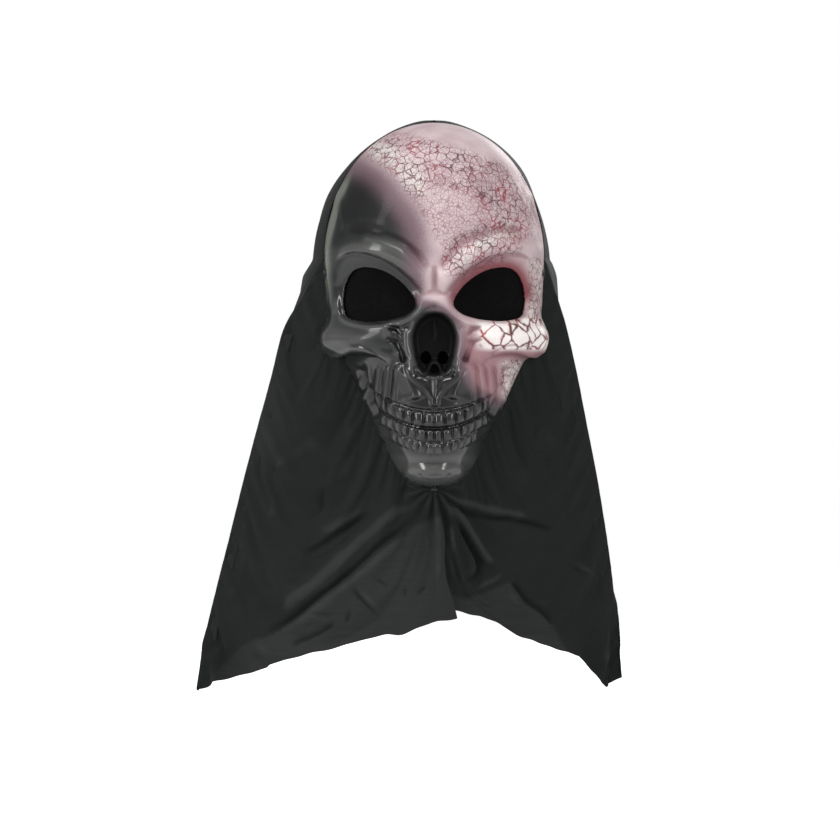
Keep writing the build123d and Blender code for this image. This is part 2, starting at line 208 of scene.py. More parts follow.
def thicken(obj, thickness_mm, offset=0.0, levels=0, material_offset=0):
    """Rounds a sheet by subdivision and gives it its thickness."""
    if levels:
        obj.modifiers.new("round", "SUBSURF").levels = levels
    solid = obj.modifiers.new("wall", "SOLIDIFY")
    solid.thickness, solid.offset = thickness_mm * MM, offset
    solid.material_offset = material_offset
    bake_modifiers(obj)


def settle(obj, body, slot, *nodes):
    """Hangs a piece on the body it rides on, if one is given, and hides the CAD nodes it stands for; slot is
    not used.
    """
    if nodes:
        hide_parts(*nodes)
    if body:
        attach(obj, body)


# ---- node materials ----------------------------------------------------------------------------
class Nodes:
    """Short names for building a material's node tree."""

    def __init__(self, name):
        self.material = bpy.data.materials.new(name)
        self.material.use_nodes = True
        self.tree = self.material.node_tree
        self.shader = self.tree.nodes["Principled BSDF"]

    def add(self, kind, **settings):
        node = self.tree.nodes.new(kind)
        for key, value in settings.items():
            setattr(node, key, value)
        return node

    def put(self, socket, value):
        """Links a socket to an output, or sets its plain value."""
        if isinstance(value, bpy.types.NodeSocket):
            self.tree.links.new(value, socket)
        else:
            socket.default_value = value

    def math(self, operation, a, b=0.0):
        node = self.add("ShaderNodeMath", operation=operation)
        self.put(node.inputs[0], a)
        self.put(node.inputs[1], b)
        return node.outputs[0]

    def times(self, a, b):
        return self.math("MULTIPLY", a, b)

    def plus(self, a, b):
        return self.math("ADD", a, b)

    def minus(self, a, b):
        return self.math("SUBTRACT", a, b)

    def most(self, a, b):
        return self.math("MAXIMUM", a, b)

    def mix(self, share, a, b):
        """Mixes two colours."""
        node = self.add("ShaderNodeMix", data_type="RGBA")
        self.put(node.inputs["Factor"], share)
        self.put(node.inputs[6], a)
        self.put(node.inputs[7], b)
        return node.outputs[2]

    def between(self, value, low, high, to_low=0.0, to_high=1.0):
        node = self.add("ShaderNodeMapRange", interpolation_type="SMOOTHSTEP")
        for socket, number in zip(node.inputs, (value, low, high, to_low, to_high)):
            self.put(socket, number)
        return node.outputs[0]

    def coordinates(self):
        return self.add("ShaderNodeTexCoord").outputs["Object"]

    def noise(self, vector, scale, detail=3.0, rough=0.5, colour=False):
        node = self.add("ShaderNodeTexNoise")
        for key, value in (("Vector", vector), ("Scale", scale), ("Detail", detail), ("Roughness", rough)):
            self.put(node.inputs[key], value)
        return node.outputs["Color" if colour else "Fac"]

    def attribute(self, name):
        return self.add("ShaderNodeAttribute", attribute_name=name).outputs["Fac"]

    def set(self, **inputs):
        for key, value in inputs.items():
            self.put(self.shader.inputs[key.replace("_", " ")], value)

    def bump(self, height, strength, distance_mm, before=None):
        node = self.add("ShaderNodeBump")
        self.put(node.inputs["Height"], height)
        self.put(node.inputs["Strength"], strength)
        self.put(node.inputs["Distance"], distance_mm * MM)
        if before is not None:
            self.put(node.inputs["Normal"], before)
        return node.outputs[0]


def rgb(red, green, blue):
    """A display colour from 0 to 255, as the linear value that a node wants."""
    linear = []
    for c in (red / 255, green / 255, blue / 255):
        linear.append(c / 12.92 if c <= 0.04045 else ((c + 0.055) / 1.055) ** 2.4)
    return (*linear, 1.0)


# ---- skull: base surface -----------------------------------------------------------------------
# Levels of the skull below its widest one: (z, half-width, depth). The last rows close the chin below.
LOWER_LEVELS = (
    (38.1, 85.4, 90.0), (18.8, 84.8, 88.0), (-0.5, 84.0, 85.6), (-12.1, 83.2, 84.4), (-20.0, 86.0, 84.2),
    (-28.9, 89.0, 84.8), (-35.4, 87.6, 85.3), (-41.0, 81.0, 85.7), (-46.0, 72.0, 86.0), (-53.0, 67.2, 86.4),
    (-69.6, 59.6, 88.0), (-87.7, 51.6, 89.0), (-103.2, 43.4, 89.0), (-121.2, 35.3, 88.0),
    (-131.6, 29.6, 84.5), (-139.0, 23.0, 77.0), (-143.0, 16.0, 65.0), (-144.0, 12.5, 55.0),
    (-144.3, 8.0, 46.0), (-144.4, 2.0, 38.8),
)
SKULL_COLUMNS = 241
# Row spacing down the face: (z, millimetres between rows).
ROW_SPACING = ((-146, 1.1), (-124, 0.85), (-74, 0.85), (-50, 1.0), (40, 1.15), (70, 1.9), (138, 2.0))


def skull_profile():
    """Rows (z, half-width, depth) from the crown down to the closed underside of the chin."""
    angle = np.linspace(0.0, math.pi / 2, 60)[:-1]
    z = HEAD_Z + HEAD_RISE * np.cos(angle)
    width = HEAD_WIDTH * np.sin(angle)
    rise = np.clip((z - FOREHEAD_Z) / (HEAD_Z + HEAD_RISE - FOREHEAD_Z), 0, 1)
    depth = FOREHEAD_DEPTH * (1 - rise**DOME_POWER) ** (1 / DOME_POWER)
    dense = np.vstack([np.stack([z, width, depth], axis=1), curve(LOWER_LEVELS, 700)])
    step = np.hypot(np.diff(dense[:, 0]), np.diff(dense[:, 2]))
    spacing = np.interp(dense[:-1, 0], *zip(*ROW_SPACING))
    position = np.concatenate([[0], np.cumsum(step / spacing)])
    return along_line(dense, position, np.linspace(0, position[-1], int(position[-1]) + 1))


def section(width, depth, angle):
    """Point of a rounded section at an angle from straight ahead."""
    x = width * np.sign(angle) * np.abs(np.sin(angle)) ** (2 / SQUARENESS)
    y = -depth * np.clip(np.cos(angle), 0, 1) ** (2 / SQUARENESS)
    return x, y


def rim_angle(rows):
    """The angle at which each row meets the rim: y = 0 above, the slanting jaw plane below."""
    low, high = np.zeros(len(rows)), np.full(len(rows), math.pi / 2)
    for _ in range(40):
        middle = (low + high) / 2
        x, y = section(rows[:, 1], rows[:, 2], middle)
        before = y < CHIN_RIM_Y + JAW_SLOPE * x
        low, high = np.where(before, middle, low), np.where(before, high, middle)
    return np.where(rows[:, 0] > JAW_TOP_Z, math.pi / 2, low)


def skull_grid():
    """Points of the plain skull in rows from crown to chin, each row running from left to right."""
    rows = skull_profile()
    share = np.linspace(-1, 1, SKULL_COLUMNS)
    x, y = section(rows[:, 1:2], rows[:, 2:3], rim_angle(rows)[:, None] * share[None, :])
    return xyz(x, y, rows[:, :1])


def grid_normals(points):
    """Outward normals of a grid of points."""
    normal = np.cross(np.gradient(points, axis=0), np.gradient(points, axis=1))
    length = np.linalg.norm(normal, axis=2, keepdims=True)
    return normal / np.maximum(length, 1e-6)


# ---- skull: carved features --------------------------------------------------------------------
# Lines are (x, z) on the right half of the face; the left half mirrors them.
EYE = closed_curve([(14.6, -3.0), (22.7, 9.9), (36.9, 20.2), (51.7, 24.0), (62.5, 21.4), (69.0, 11.0),
                    (70.6, -3.0), (67.8, -13.2), (56.0, -17.0), (44.0, -17.2), (31.0, -15.4),
                    (19.5, -11.0)], 72)
NOSTRIL = closed_curve([(6.6 + 3.9 * math.cos(a), -45.5 + 5.0 * math.sin(a))
                        for a in np.linspace(0, 2 * math.pi, 12, endpoint=False)], 32)
NOSE = closed_curve([(0, -9.6), (8.5, -11.6), (15.6, -19.0), (18.6, -29.0), (17.8, -40.0), (15.0, -50.0),
                     (11.0, -58.0), (0, -61.0), (-11.0, -58.0), (-15.0, -50.0), (-17.8, -40.0),
                     (-18.6, -29.0), (-15.6, -19.0), (-8.5, -11.6)], 80)
BROW_EDGE = curve([(80, 27), (73, 34), (61.7, 37.0), (46.8, 34.5), (32, 27.6), (19.5, 18.4), (9.5, 8.5),
                   (5, 2)], 60)
BROW_BAND = curve([(58, 50), (44, 45), (30, 38), (16, 26), (7, 15)], 40)
BROW_TOP = curve([(70, 55), (49, 51), (27, 45), (12, 33.5), (2, 18)], 40)
TEMPLE = curve([(74, 104), (77.5, 86), (73.6, 68), (72, 55), (77.5, 45), (81.5, 36), (82.5, 26), (79.5, 14),
                (77.8, -1), (77.0, -12), (80, -23)], 60)
NOSE_ROOT = curve([(0, -3.5), (8, -7.0), (15, -13.0), (24, -18.5), (36, -21.5)], 30)
CHEEK_BAR = curve([(90, -30), (75, -30), (58, -30), (42, -28), (31, -26)], 40)
CHEEK_EDGE = curve([(90, -41), (76, -42.5), (62, -40), (50, -41.5), (40, -45.5), (31, -52)], 40)
CHEEK_GROOVE = curve([(66, -35.5), (56, -36.5), (47, -40.5), (42, -46)], 30)
PLATE_EDGE = curve([(25, -48), (18, -60.5), (9.0, -68.5), (3.2, -74.5), (1.4, -84)], 40)
NOSE_SIDE = curve([(21.5, -22), (22, -34), (19.5, -46), (15.5, -60)], 30)
SPINE = curve([(0, -49), (3.5, -52), (5.5, -56.5), (9.0, -58.0), (12.0, -55.0)], 30)
CANINE = curve([(30, -51), (22, -60), (16.5, -70), (14.5, -79)], 30)
RAMUS = curve([(69, -49), (62.5, -63), (55.5, -78), (48.5, -91), (42, -102), (37, -113)], 40)
RAMUS_GROOVE = curve([(57, -50), (54, -62), (49.5, -74), (45.5, -85), (42, -93)], 40)
CHIN_BOSS = curve([(0, -134.6), (11, -134.2), (19, -132.6)], 20)
JAW_RADIUS = 50.0                # of the arch on which the teeth stand
SMILE_X = 40.0                   # where the rise of a row of teeth is given
FAR = 99.0                       # a distance from an outline at which its effect has ended
TINY = 1e-9                      # keeps a division by a length from dividing by nothing


def step_ridge(x, z, points, height, left, right, fade=0.1):
    """A ridge, or a groove for a negative height, that fades out at both ends of its line.

    It falls off over left millimetres on its left side and over right millimetres on its right.
    """
    signed, along = to_line(x, z, points)
    ends = smooth(along, 0, fade) * (1 - smooth(along, 1 - fade, 1)) if fade else 1.0
    return height * bell(signed, np.where(signed > 0, left, right)) * ends


def ridge(x, z, points, width, height, fade=0.12):
    """A ridge or groove with the same width on both sides."""
    return step_ridge(x, z, points, height, width, width, fade)


def blob(x, z, centre, radii, height):
    """A rounded bump or dent."""
    return height * np.exp(-(((x - centre[0]) / radii[0]) ** 2) - ((z - centre[1]) / radii[1]) ** 2)


def pillow(share, power=4):
    """A flat-topped bump over a share from 0 to 1."""
    return np.clip(1 - np.abs(2 * share - 1) ** power, 0, 1)


def smile(x, middle, rise):
    """The height of a level curve of the teeth: middle at x = 0, and a rise at SMILE_X to each side."""
    return middle + rise * (x / SMILE_X) ** 2


def tooth_row(x, z, top, bottom, height, reach, width):
    """One smiling row of teeth between two level curves, up to reach from the middle."""
    high, low = smile(x, *top), smile(x, *bottom)
    arc = JAW_RADIUS * np.arcsin(np.clip(x / JAW_RADIUS, 0, 0.98))
    arc = arc + 0.55 * np.sin(arc / 3.9 + top[0])
    across = np.mod(arc / width, 1)
    up = (z - low) / (high - low)
    lives = (up > 0) & (up < 1)
    uneven = 1 + 0.16 * np.sin(np.floor(arc / width) * 2.7 + top[0])
    shape = pillow(across, 2.6) ** 0.75 * pillow(up, 3.4) ** 0.7 * uneven
    return np.where(lives, height * shape, 0.0) * (1 - smooth(x, reach - 6, reach))


def carve(x, z):
    """How far the face stands out from the plain skull at every (x, z), in millimetres."""
    x = np.abs(x)
    eye = inside(x, z, EYE)
    h = np.zeros(x.shape)

    # forehead, temples and brow
    h += blob(x, z, (34, 84), (34, 30), 1.0)
    h += blob(x, z, (70, 72), (33, 30), -5.0)
    h += blob(x, z, (46, 60), (13, 9), 1.2)
    h += ridge(x, z, TEMPLE, 4.0, 2.6) * (1 - 0.6 * smooth(z, 12, 26) * (1 - smooth(z, 44, 56)))
    h += step_ridge(x, z, BROW_EDGE, 6.0, 1.5, 10.0, fade=0.16) * (1 - 0.7 * smooth(x, 66, 80))
    h += ridge(x, z, BROW_TOP, 5.0, -2.4)
    h += ridge(x, z, BROW_BAND, 5.5, 2.2)
    above = smooth(z, -6, 10)
    h += -6.5 * bell(np.clip(eye, 0, FAR), 8.0) * above
    h += -3.0 * bell(np.clip(eye, 0, FAR), 3.2) * (1 - above)
    h += 1.5 * bell(eye - 4.5, 2.6) * (1 - above)

    # root of the nose
    h += -3.4 * bell(x, 2.6) * smooth(z, 4, 12) * (1 - smooth(z, 18, 30))
    h += blob(x, z, (0, 4.6), (7, 3.2), -2.6)
    h += blob(x, z, (0, -1.6), (9, 3.4), 2.2)
    h += step_ridge(x, z, NOSE_ROOT, 2.6, 7.0, 2.0, fade=0.0) * (1 - smooth(x, 26, 38))

    # nasal opening, spine and the plates of the upper jaw
    nose = inside(x, z, NOSE)
    h += -15.5 * smooth(-nose, -0.6, 6.0)
    h += ridge(x, z, NOSE_SIDE, 2.2, 2.4)
    h += 2.0 * bell(x, 1.3) * smooth(-nose, 2, 6) * smooth(z, -36, -26)
    h += ridge(x, z, SPINE, 1.6, 8.5, fade=0.0) * smooth(z, -62, -56)
    h += step_ridge(x, z, PLATE_EDGE, 3.0, 1.3, 7.0, fade=0.05)
    channel = smooth(-z, 58, 63) * (1 - smooth(-z, 82, 86))
    h += -4.0 * np.exp(-((x / (2.0 + 9.0 * smooth(z, -78, -60))) ** 4)) * channel
    h += 2.6 * bell(x, 1.2) * channel

    # hollows beside the nose
    h += ridge(x, z, [(37, -21.5), (29.5, -22.5), (25, -29)], 1.7, -2.2)
    h += ridge(x, z, [(38, -30.5), (30, -33.5), (26, -41), (23.5, -51)], 1.9, -2.6)
    h += blob(x, z, (31, -23), (3.6, 2.2), -1.8)
    h += blob(x, z, (27.2, -33.5), (2.6, 3.0), -1.8)
    h += blob(x, z, (23.2, -49), (2.2, 5.5), -3.0)

    # cheekbone and the hollow below it
    h += ridge(x, z, CHEEK_BAR, 7.0, 3.6)
    h += step_ridge(x, z, CHEEK_EDGE, 3.0, 1.5, 6.0)
    h += ridge(x, z, CHEEK_GROOVE, 1.5, -1.7)
    h += blob(x, z, (52, -56), (12, 9), -5.0)

    # roots above the upper teeth
    roots = smooth(-z, 50, 56) * (1 - smooth(-z, 76, 84)) * smooth(x, 27, 32) * (1 - smooth(x, 55, 60))
    h += 1.7 * np.cos((x + 0.12 * (z + 65)) * 2 * math.pi / 7.4) * roots
    h += ridge(x, z, CANINE, 5.2, 4.2)

    # teeth
    upper = tooth_row(x, z, (-87.0, 10.5), (-99.6, 12.4), 3.6, 50, 8.3)
    lower = tooth_row(x, z, (-100.6, 12.6), (-110.6, 13.6), 3.1, 44, 6.9)
    stubs = tooth_row(x, z, (-111.2, 13.8), (-119.8, 16.0), 2.1, 36, 6.2)
    h += upper + lower + stubs
    h += blob(x, z, (0, -98), (46, 13), 0.8)
    gum = smile(x, -86.4, 10.5)
    h += -1.6 * bell(z - gum, 1.3) * (1 - smooth(x, 46, 52))
    bite = smile(x, -100.1, 12.5)
    h += -2.2 * bell(z - bite, 1.0) * (1 - smooth(x, 42, 48))

    # jaw and chin
    h += ridge(x, z, RAMUS, 3.6, 2.6)
    h += ridge(x, z, RAMUS_GROOVE, 3.4, -4.2)
    h += blob(x, z, (0, -126), (22, 4.5), -1.8)
    h += ridge(x, z, CHIN_BOSS, 6.0, 4.4, fade=0.0) * (1 - smooth(x, 17, 27))
    h += blob(x, z, (0, -135.2), (10, 2.0), -2.4)
    return h


# ---- skull: paint ------------------------------------------------------------------------------
# The soft line between the dark side (left) and the pink side (right).
DARK_LINE = curve([(-100, 96), (-76, 99), (-54, 91), (-38, 75), (-25, 55), (-22, 40), (-22, 24), (-16, 8),
                   (-14, -4), (-2, -9), (14, -20), (18, -40), (22, -62), (34, -76), (56, -86), (80, -96)], 90)


def paint_masks(x, z):
    """Shares of each paint at every (x, z): dark metal, crackle of three sizes, red-pink, and painted shade
    deep inside the nose.
    """
    side, _ = to_line(x, z, DARK_LINE)
    blend = 5.5 + 8.5 * smooth(z, 0, 40)
    dark = 1 - smooth(side, -blend, blend * 1.1)
    pink = smooth(side, blend * 0.2, blend * 2.3)
    low = smooth(-z - 0.12 * x, 60, 84)
    dark = np.maximum(dark, low * (1 - 0.45 * smooth(x, 0, 34)))
    nose = inside(x, z, NOSE)
    dark = np.maximum(dark, smooth(-nose, -1.0, 1.5))
    eye = inside(x, z, EYE)
    cheek = smooth(x, 27, 44) * smooth(-z, 13, 17) * (1 - smooth(-z, 36, 42))
    column = smooth(x, 70, 75) * smooth(z, -26, -14) * (1 - smooth(z, 24, 40))
    strip = smooth(x, 46, 56) * smooth(-z, 44, 50) * (1 - smooth(-z, 76, 88))
    coarse = cheek * (1 - smooth(z, -14, -8))
    corner, _ = to_line(x, z, [(-46, 112), (-30, 100), (-18, 86)])
    large = bell(corner, 15)
    patch, _ = to_line(x, z, [(-28, 112), (8, 102), (40, 92), (62, 66), (52, 48), (22, 30)])
    middle = bell(patch, 18)
    middle = np.clip(np.maximum(np.maximum(middle, large), np.maximum(strip, 0.8 * column)), 0, 1)
    band, _ = to_line(x, z, [(-14, 78), (0, 62), (14, 46)])
    field, _ = to_line(x, z, [(14, 80), (34, 62)])
    fine = np.maximum(bell(band, 11), 0.8 * bell(field, 15))
    crackle = smooth(z, 34, 48) * (1 - smooth(z, 98, 118)) * smooth(x, -30, -6)
    fine = np.maximum(fine, 0.5 * crackle)
    white = np.maximum(0.95 * large, 0.1 * bell(band, 9))
    white = np.maximum(white, np.maximum(coarse, 0.7 * strip))
    low_brow, _ = to_line(x, z, [(20, 30), (36, 42), (58, 52)])
    white = np.maximum(white, 0.8 * bell(low_brow, 8))
    white = np.maximum(white, 0.6 * column)
    red = bell(np.clip(eye, 0, FAR), 8) * smooth(x, 4, 14)
    flush = 0.62 * smooth(x, 16, 24) * smooth(-z, 10, 34) * (1 - coarse) * (1 - strip)
    red = np.maximum(red * smooth(z, -12, 4) + flush, blob(x, z, (26, 70), (26, 20), 0.08))
    # painted shade deep inside the nasal opening
    nose_shade = smooth(-nose, 0.5, 4.0) * smooth(z, -62, -56)
    return {"dark": dark, "nose_shade": nose_shade, "pink": pink, "coarse": coarse * (1 - dark), "middle": middle * pink,
            "fine": fine * pink, "white": white * pink, "red": np.clip(red, 0, 1)}


def wear_masks(x, z, hollow, around, dark):
    """Shares of painted shade in the hollows and of darker paint over the mouth, of paler paint on the crests
    (partly rubbed wear, partly painted highlight) with painted light on the chin, cheek, jaw and brow, of the
    painted highlight along the rim, and of matt paint.
    """
    # painted light: the chin's underside, the left cheek, the jaw on both sides and the left brow made paler
    lit = smooth(-z, 117, 124) + blob(x, z, (-70, -31), (22, 8), 0.8) + blob(x, z, (-38, -109), (13, 15), 1.0)
    lit += blob(x, z, (30, -112), (9, 13), 0.45) + blob(x, z, (-34, 40), (26, 10), 0.9)
    mouth = dark * smooth(-z, 50, 60) * (1 - smooth(-z, 108, 118))
    # painted shade in the hollows, and darker paint over the mouth
    shade_and_dark_mouth = np.maximum(smooth(hollow, 0.12, 0.9), 0.6 * mouth)
    # painted shade in the forehead's hollow and in the notch between the brows
    for bump in (blob(x, z, (-57, 74), (20, 24), 0.75), blob(x, z, (0.5, 12), (3.4, 8), 1.0)):
        shade_and_dark_mouth = np.maximum(shade_and_dark_mouth, bump)
    # paint paler on the crests, partly rubbed wear and partly painted highlight, plus the painted light
    # above; less over the mouth
    wear_and_light = np.clip(0.8 * smooth(-hollow, 0.15, 0.9) * (1 - 0.5 * mouth) + 0.9 * lit, 0, 1)
    # painted highlight: a pale line along the left temple's rim, standing for a reflection on the edge
    edge = smooth(around, 0.72, 0.86) * (1 - smooth(around, 0.965, 1.0))
    edge = edge * smooth(-x, 30, 60) * smooth(z, -8, 14) * (1 - smooth(z, 86, 108))
    satin = np.maximum(smooth(z, 30, 46), blob(x, z, (-44, -30), (24, 10), 0.8))
    return {"shade_and_dark_mouth": shade_and_dark_mouth, "wear_and_light": wear_and_light, "edge": edge, "satin": satin}


def skull_material():
    n = Nodes("cracked_paint")
    place = n.coordinates()
    warp = n.add("ShaderNodeVectorMath", operation="MULTIPLY_ADD")
    n.put(warp.inputs[0], n.noise(place, 90.0, 4.0, 0.6, colour=True))
    n.put(warp.inputs[1], (0.0035, 0.0035, 0.0035))
    n.put(warp.inputs[2], place)
    dark, nose_shade, pink, white, red = (n.attribute(k) for k in ("dark", "nose_shade", "pink", "white", "red"))
    coarse, middle, fine = (n.attribute(k) for k in ("coarse", "middle", "fine"))
    shade_and_dark_mouth, wear_and_light, satin, edge = (n.attribute(k) for k in ("shade_and_dark_mouth", "wear_and_light", "satin", "edge"))

    def cracks(cell_mm, line_mm, seed):
        """1 on the cracks between cells of a size."""
        shift = n.add("ShaderNodeVectorMath", operation="ADD")
        n.put(shift.inputs[0], warp.outputs[0])
        n.put(shift.inputs[1], (seed, 0.7 * seed, 0.3 * seed))
        cell = n.add("ShaderNodeTexVoronoi", feature="DISTANCE_TO_EDGE")
        n.put(cell.inputs["Vector"], shift.outputs[0])
        n.put(cell.inputs["Scale"], 1000.0 / cell_mm)
        half_line = line_mm / cell_mm / 2
        uneven = n.between(n.noise(place, 160.0, 2.0), 0.35, 0.7, 0.5, 1.4)
        return n.between(cell.outputs["Distance"], 0.0, n.times(uneven, 2 * half_line), 1.0, 0.0)

    wander = n.noise(place, 38.0, 3.0)
    fleck = n.noise(place, 900.0, 2.0)
    base = n.mix(n.between(wander, 0.35, 0.65), rgb(186, 164, 169), rgb(202, 183, 186))
    pale = n.mix(n.between(wander, 0.4, 0.7), rgb(214, 206, 203), rgb(199, 186, 186))
    ragged = n.times(n.minus(wander, 0.5), 1.1)
    ragged = n.between(n.plus(white, ragged), 0.22, 0.72)
    colour = n.mix(ragged, base, pale)
    colour = n.mix(red, colour, rgb(126, 58, 66))

    colour = n.mix(n.times(coarse, 0.9), colour, rgb(246, 238, 235))
    big = n.times(cracks(12.5, 1.6, 0.1), n.between(coarse, 0.3, 0.6))
    mid = n.times(cracks(6.6, 0.62, 0.2), n.between(middle, 0.25, 0.6))
    small = n.times(cracks(2.7, 0.42, 0.3), n.between(fine, 0.15, 0.6))
    hair = n.times(cracks(3.4, 0.3, 0.4), n.between(middle, 0.2, 0.6, 0.0, 0.7))
    ink = n.mix(n.between(n.noise(place, 55.0, 2.0), 0.38, 0.66), rgb(84, 42, 50), rgb(134, 52, 60))
    colour = n.mix(n.times(small, 0.66), colour, rgb(118, 64, 76))
    colour = n.mix(hair, colour, ink)
    colour = n.mix(n.times(mid, 0.92), colour, ink)
    colour = n.mix(big, colour, n.mix(n.between(wander, 0.4, 0.6), rgb(92, 24, 30), rgb(160, 30, 36)))

    speckle = n.times(n.minus(fleck, 0.5), 0.5)
    metal = n.mix(n.between(wander, 0.3, 0.7), rgb(22, 24, 24), rgb(33, 34, 35))
    # the metal paler on its crests, partly wear and partly painted highlight, and where light is painted on
    metal = n.mix(n.times(wear_and_light, 0.6), metal, rgb(90, 92, 89))
    # the metal darkened as painted shade in the hollows, and darker over the mouth
    metal = n.mix(n.times(shade_and_dark_mouth, 0.85), metal, rgb(12, 12, 13))
    # painted highlight along the left rim
    metal = n.mix(n.times(edge, 0.5), metal, rgb(138, 143, 132))
    # the mauve darkened as painted shade in the hollows
    mauve = n.mix(shade_and_dark_mouth, rgb(112, 90, 98), rgb(62, 40, 46))
    colour = n.mix(n.between(n.plus(pink, speckle), 0.0, 1.0), mauve, colour)
    colour = n.mix(n.between(n.plus(dark, n.times(speckle, 0.6)), 0.0, 1.0), colour, metal)
    # the inside of the nose painted nearly black as shade
    colour = n.mix(n.times(nose_shade, 0.9), colour, rgb(21, 21, 22))
    # painted shade: the pink turns dark rose in its hollows
    colour = n.mix(n.times(n.times(shade_and_dark_mouth, 0.5), pink), colour, rgb(112, 54, 62))
    colour = n.mix(n.times(n.between(fleck, 0.45, 0.75), 0.12), colour, rgb(40, 30, 34))
    all_cracks = n.most(n.most(big, mid), n.times(small, 0.5))
    bump = n.bump(n.minus(1.0, all_cracks), 0.5, 0.35)
    bump = n.bump(n.noise(place, 420.0, 3.0), 0.10, 0.3, bump)
    gloss = n.times(n.between(dark, 0, 1, 0.2, 0.9), n.between(nose_shade, 0, 1, 1.0, 0.12))
    gloss = n.times(gloss, n.between(satin, 0, 1, 1.0, 0.08))
    rough = n.most(n.between(dark, 0, 1, 0.48, 0.36), n.times(nose_shade, 0.75))
    rough = n.most(rough, n.times(satin, 0.6))
    specular = n.times(n.between(nose_shade, 0, 1, 1.0, 0.25), n.between(dark, 0, 1, 0.4, 0.2))
    n.set(Base_Color=colour, Roughness=rough, Normal=bump, Coat_Weight=gloss, Coat_Roughness=0.1,
          Specular_IOR_Level=specular)
    return n.material


def raw_inside_material():
    n = Nodes("raw_inside")
    place = n.coordinates()
    grain = n.noise(place, 300.0, 5.0, 0.6)
    n.set(Base_Color=n.mix(grain, rgb(58, 56, 55), rgb(84, 81, 79)), Roughness=0.7,
          Normal=n.bump(grain, 0.3, 0.4))
    return n.material


def spread(values, rounds):
    """Values averaged with their neighbours again and again."""
    for _ in range(rounds):
        wide = np.pad(values, 1, mode="edge")
        values = (wide[:-2, 1:-1] + wide[2:, 1:-1] + wide[1:-1, :-2] + wide[1:-1, 2:]) / 4
    return values


def cut_openings(points, outlines):
    """Faces of the grid outside the openings, with the cut edge's points moved onto the outlines."""
    rows, columns = points.shape[:2]
    flat = points.reshape(-1, 3).copy()
    faces = grid_faces(rows, columns)
    centre = flat[faces].mean(axis=1)
    keep = np.ones(len(faces), bool)
    for outline in outlines:
        away = np.abs(centre[:, (0, 2)] - outline.mean(axis=0))
        index = np.flatnonzero((away[:, 0] < 45) & (away[:, 1] < 40))
        hole = inside(centre[index, 0], centre[index, 2], outline) < 0
        keep[index[hole]] = False
        edge = np.intersect1d(faces[index[hole]].ravel(), faces[index[~hole]].ravel())
        ring = curve(np.vstack([outline, outline[:1]]), 1200)
        for v in edge:
            target = ring[np.argmin(np.hypot(ring[:, 0] - flat[v, 0], ring[:, 1] - flat[v, 2]))]
            flat[v, 0], flat[v, 2] = target
    return flat, faces[keep]


def make_skull():
    """The painted face: the plain skull pushed out or in along its normals, or straight ahead."""
    plain = skull_grid()
    h = carve(plain[..., 0], plain[..., 2])
    rim = np.abs(np.linspace(-1, 1, SKULL_COLUMNS))[None, :]
    jaw = smooth(-plain[..., 2], 44, 54)
    h = h * (1 - (0.7 + 0.25 * jaw) * smooth(rim, 0.93 - 0.13 * jaw, 1.0))
    seat = sum(box_mm("right_strap_rivet")) / 2
    h = h * (1 - blob(plain[..., 1], plain[..., 2], seat[1:], (8, 8), 1.0))
    normals = grid_normals(plain)
    ahead = smooth(-normals[..., 1], 0.15, 0.5)[..., None]
    direction = normals * (1 - ahead) + np.array((0, -1.0, 0)) * ahead
    direction /= np.maximum(np.linalg.norm(direction, axis=2, keepdims=True), TINY)
    points = plain + direction * h[..., None]
    hollow = (spread(h, 14) - h).ravel()
    mirrored = [outline * (-1, 1) for outline in (EYE, NOSTRIL)]
    flat, faces = cut_openings(points, [EYE, NOSTRIL, *mirrored])
    used = np.unique(faces)
    renumber = np.zeros(len(flat), int)
    renumber[used] = np.arange(len(used))
    obj = mesh_object("skull", flat[used], renumber[faces], skull_material())
    obj.data.materials.append(raw_inside_material())
    x, z = flat[used, 0], flat[used, 2]
    masks = paint_masks(x, z)
    around = np.broadcast_to(rim, plain.shape[:2]).ravel()[used]
    masks.update(wear_masks(x, z, hollow[used], around, masks["dark"]))
    store_shares(obj, masks)
    thicken(obj, SHELL_WALL, -1.0, material_offset=1)
    settle(obj, "mask", "painted_face", "skull_shell")
    make_eye_meshes(points)


def make_eye_meshes(surface):
    """Dark cloth mesh glued behind each eye opening, following the face's inside."""
    material = mesh_cloth_material()
    inner = surface - grid_normals(surface) * (SHELL_WALL + 0.9)
    flat = inner.reshape(-1, 3)
    faces = grid_faces(*surface.shape[:2])
    centre = surface.reshape(-1, 3)[faces].mean(axis=1)
    for side, name in SIDES.items():
        near = np.flatnonzero((centre[:, 0] * side > 5) & (np.abs(centre[:, 2]) < 40))
        keep = near[inside(centre[near, 0] * side, centre[near, 2], EYE) < 4.0]
        used, numbered = np.unique(faces[keep], return_inverse=True)
        obj = mesh_object(f"{name}_eye_mesh_cloth", flat[used], numbered.reshape(-1, 4), material)
        thicken(obj, MESH_CLOTH_WALL)
        settle(obj, "mask", "black_mesh", f"{name}_eye_mesh")


# ---- cloth -------------------------------------------------------------------------------------
def mesh_cloth_material():
    n = Nodes("black_mesh_cloth")
    place = n.coordinates()
    threads = n.add("ShaderNodeTexVoronoi")
    n.put(threads.inputs["Vector"], place)
    n.put(threads.inputs["Scale"], 1100.0)
    holes = n.between(threads.outputs["Distance"], 0.25, 0.5)
    uneven = n.noise(place, 60.0, 3.0)
    base = n.mix(n.between(uneven, 0.3, 0.7), rgb(5, 5, 6), rgb(15, 16, 16))
    n.set(Base_Color=n.mix(holes, base, rgb(2, 2, 2)), Roughness=0.9, Normal=n.bump(holes, 0.5, 0.25),
          Specular_IOR_Level=0.12)
    return n.material


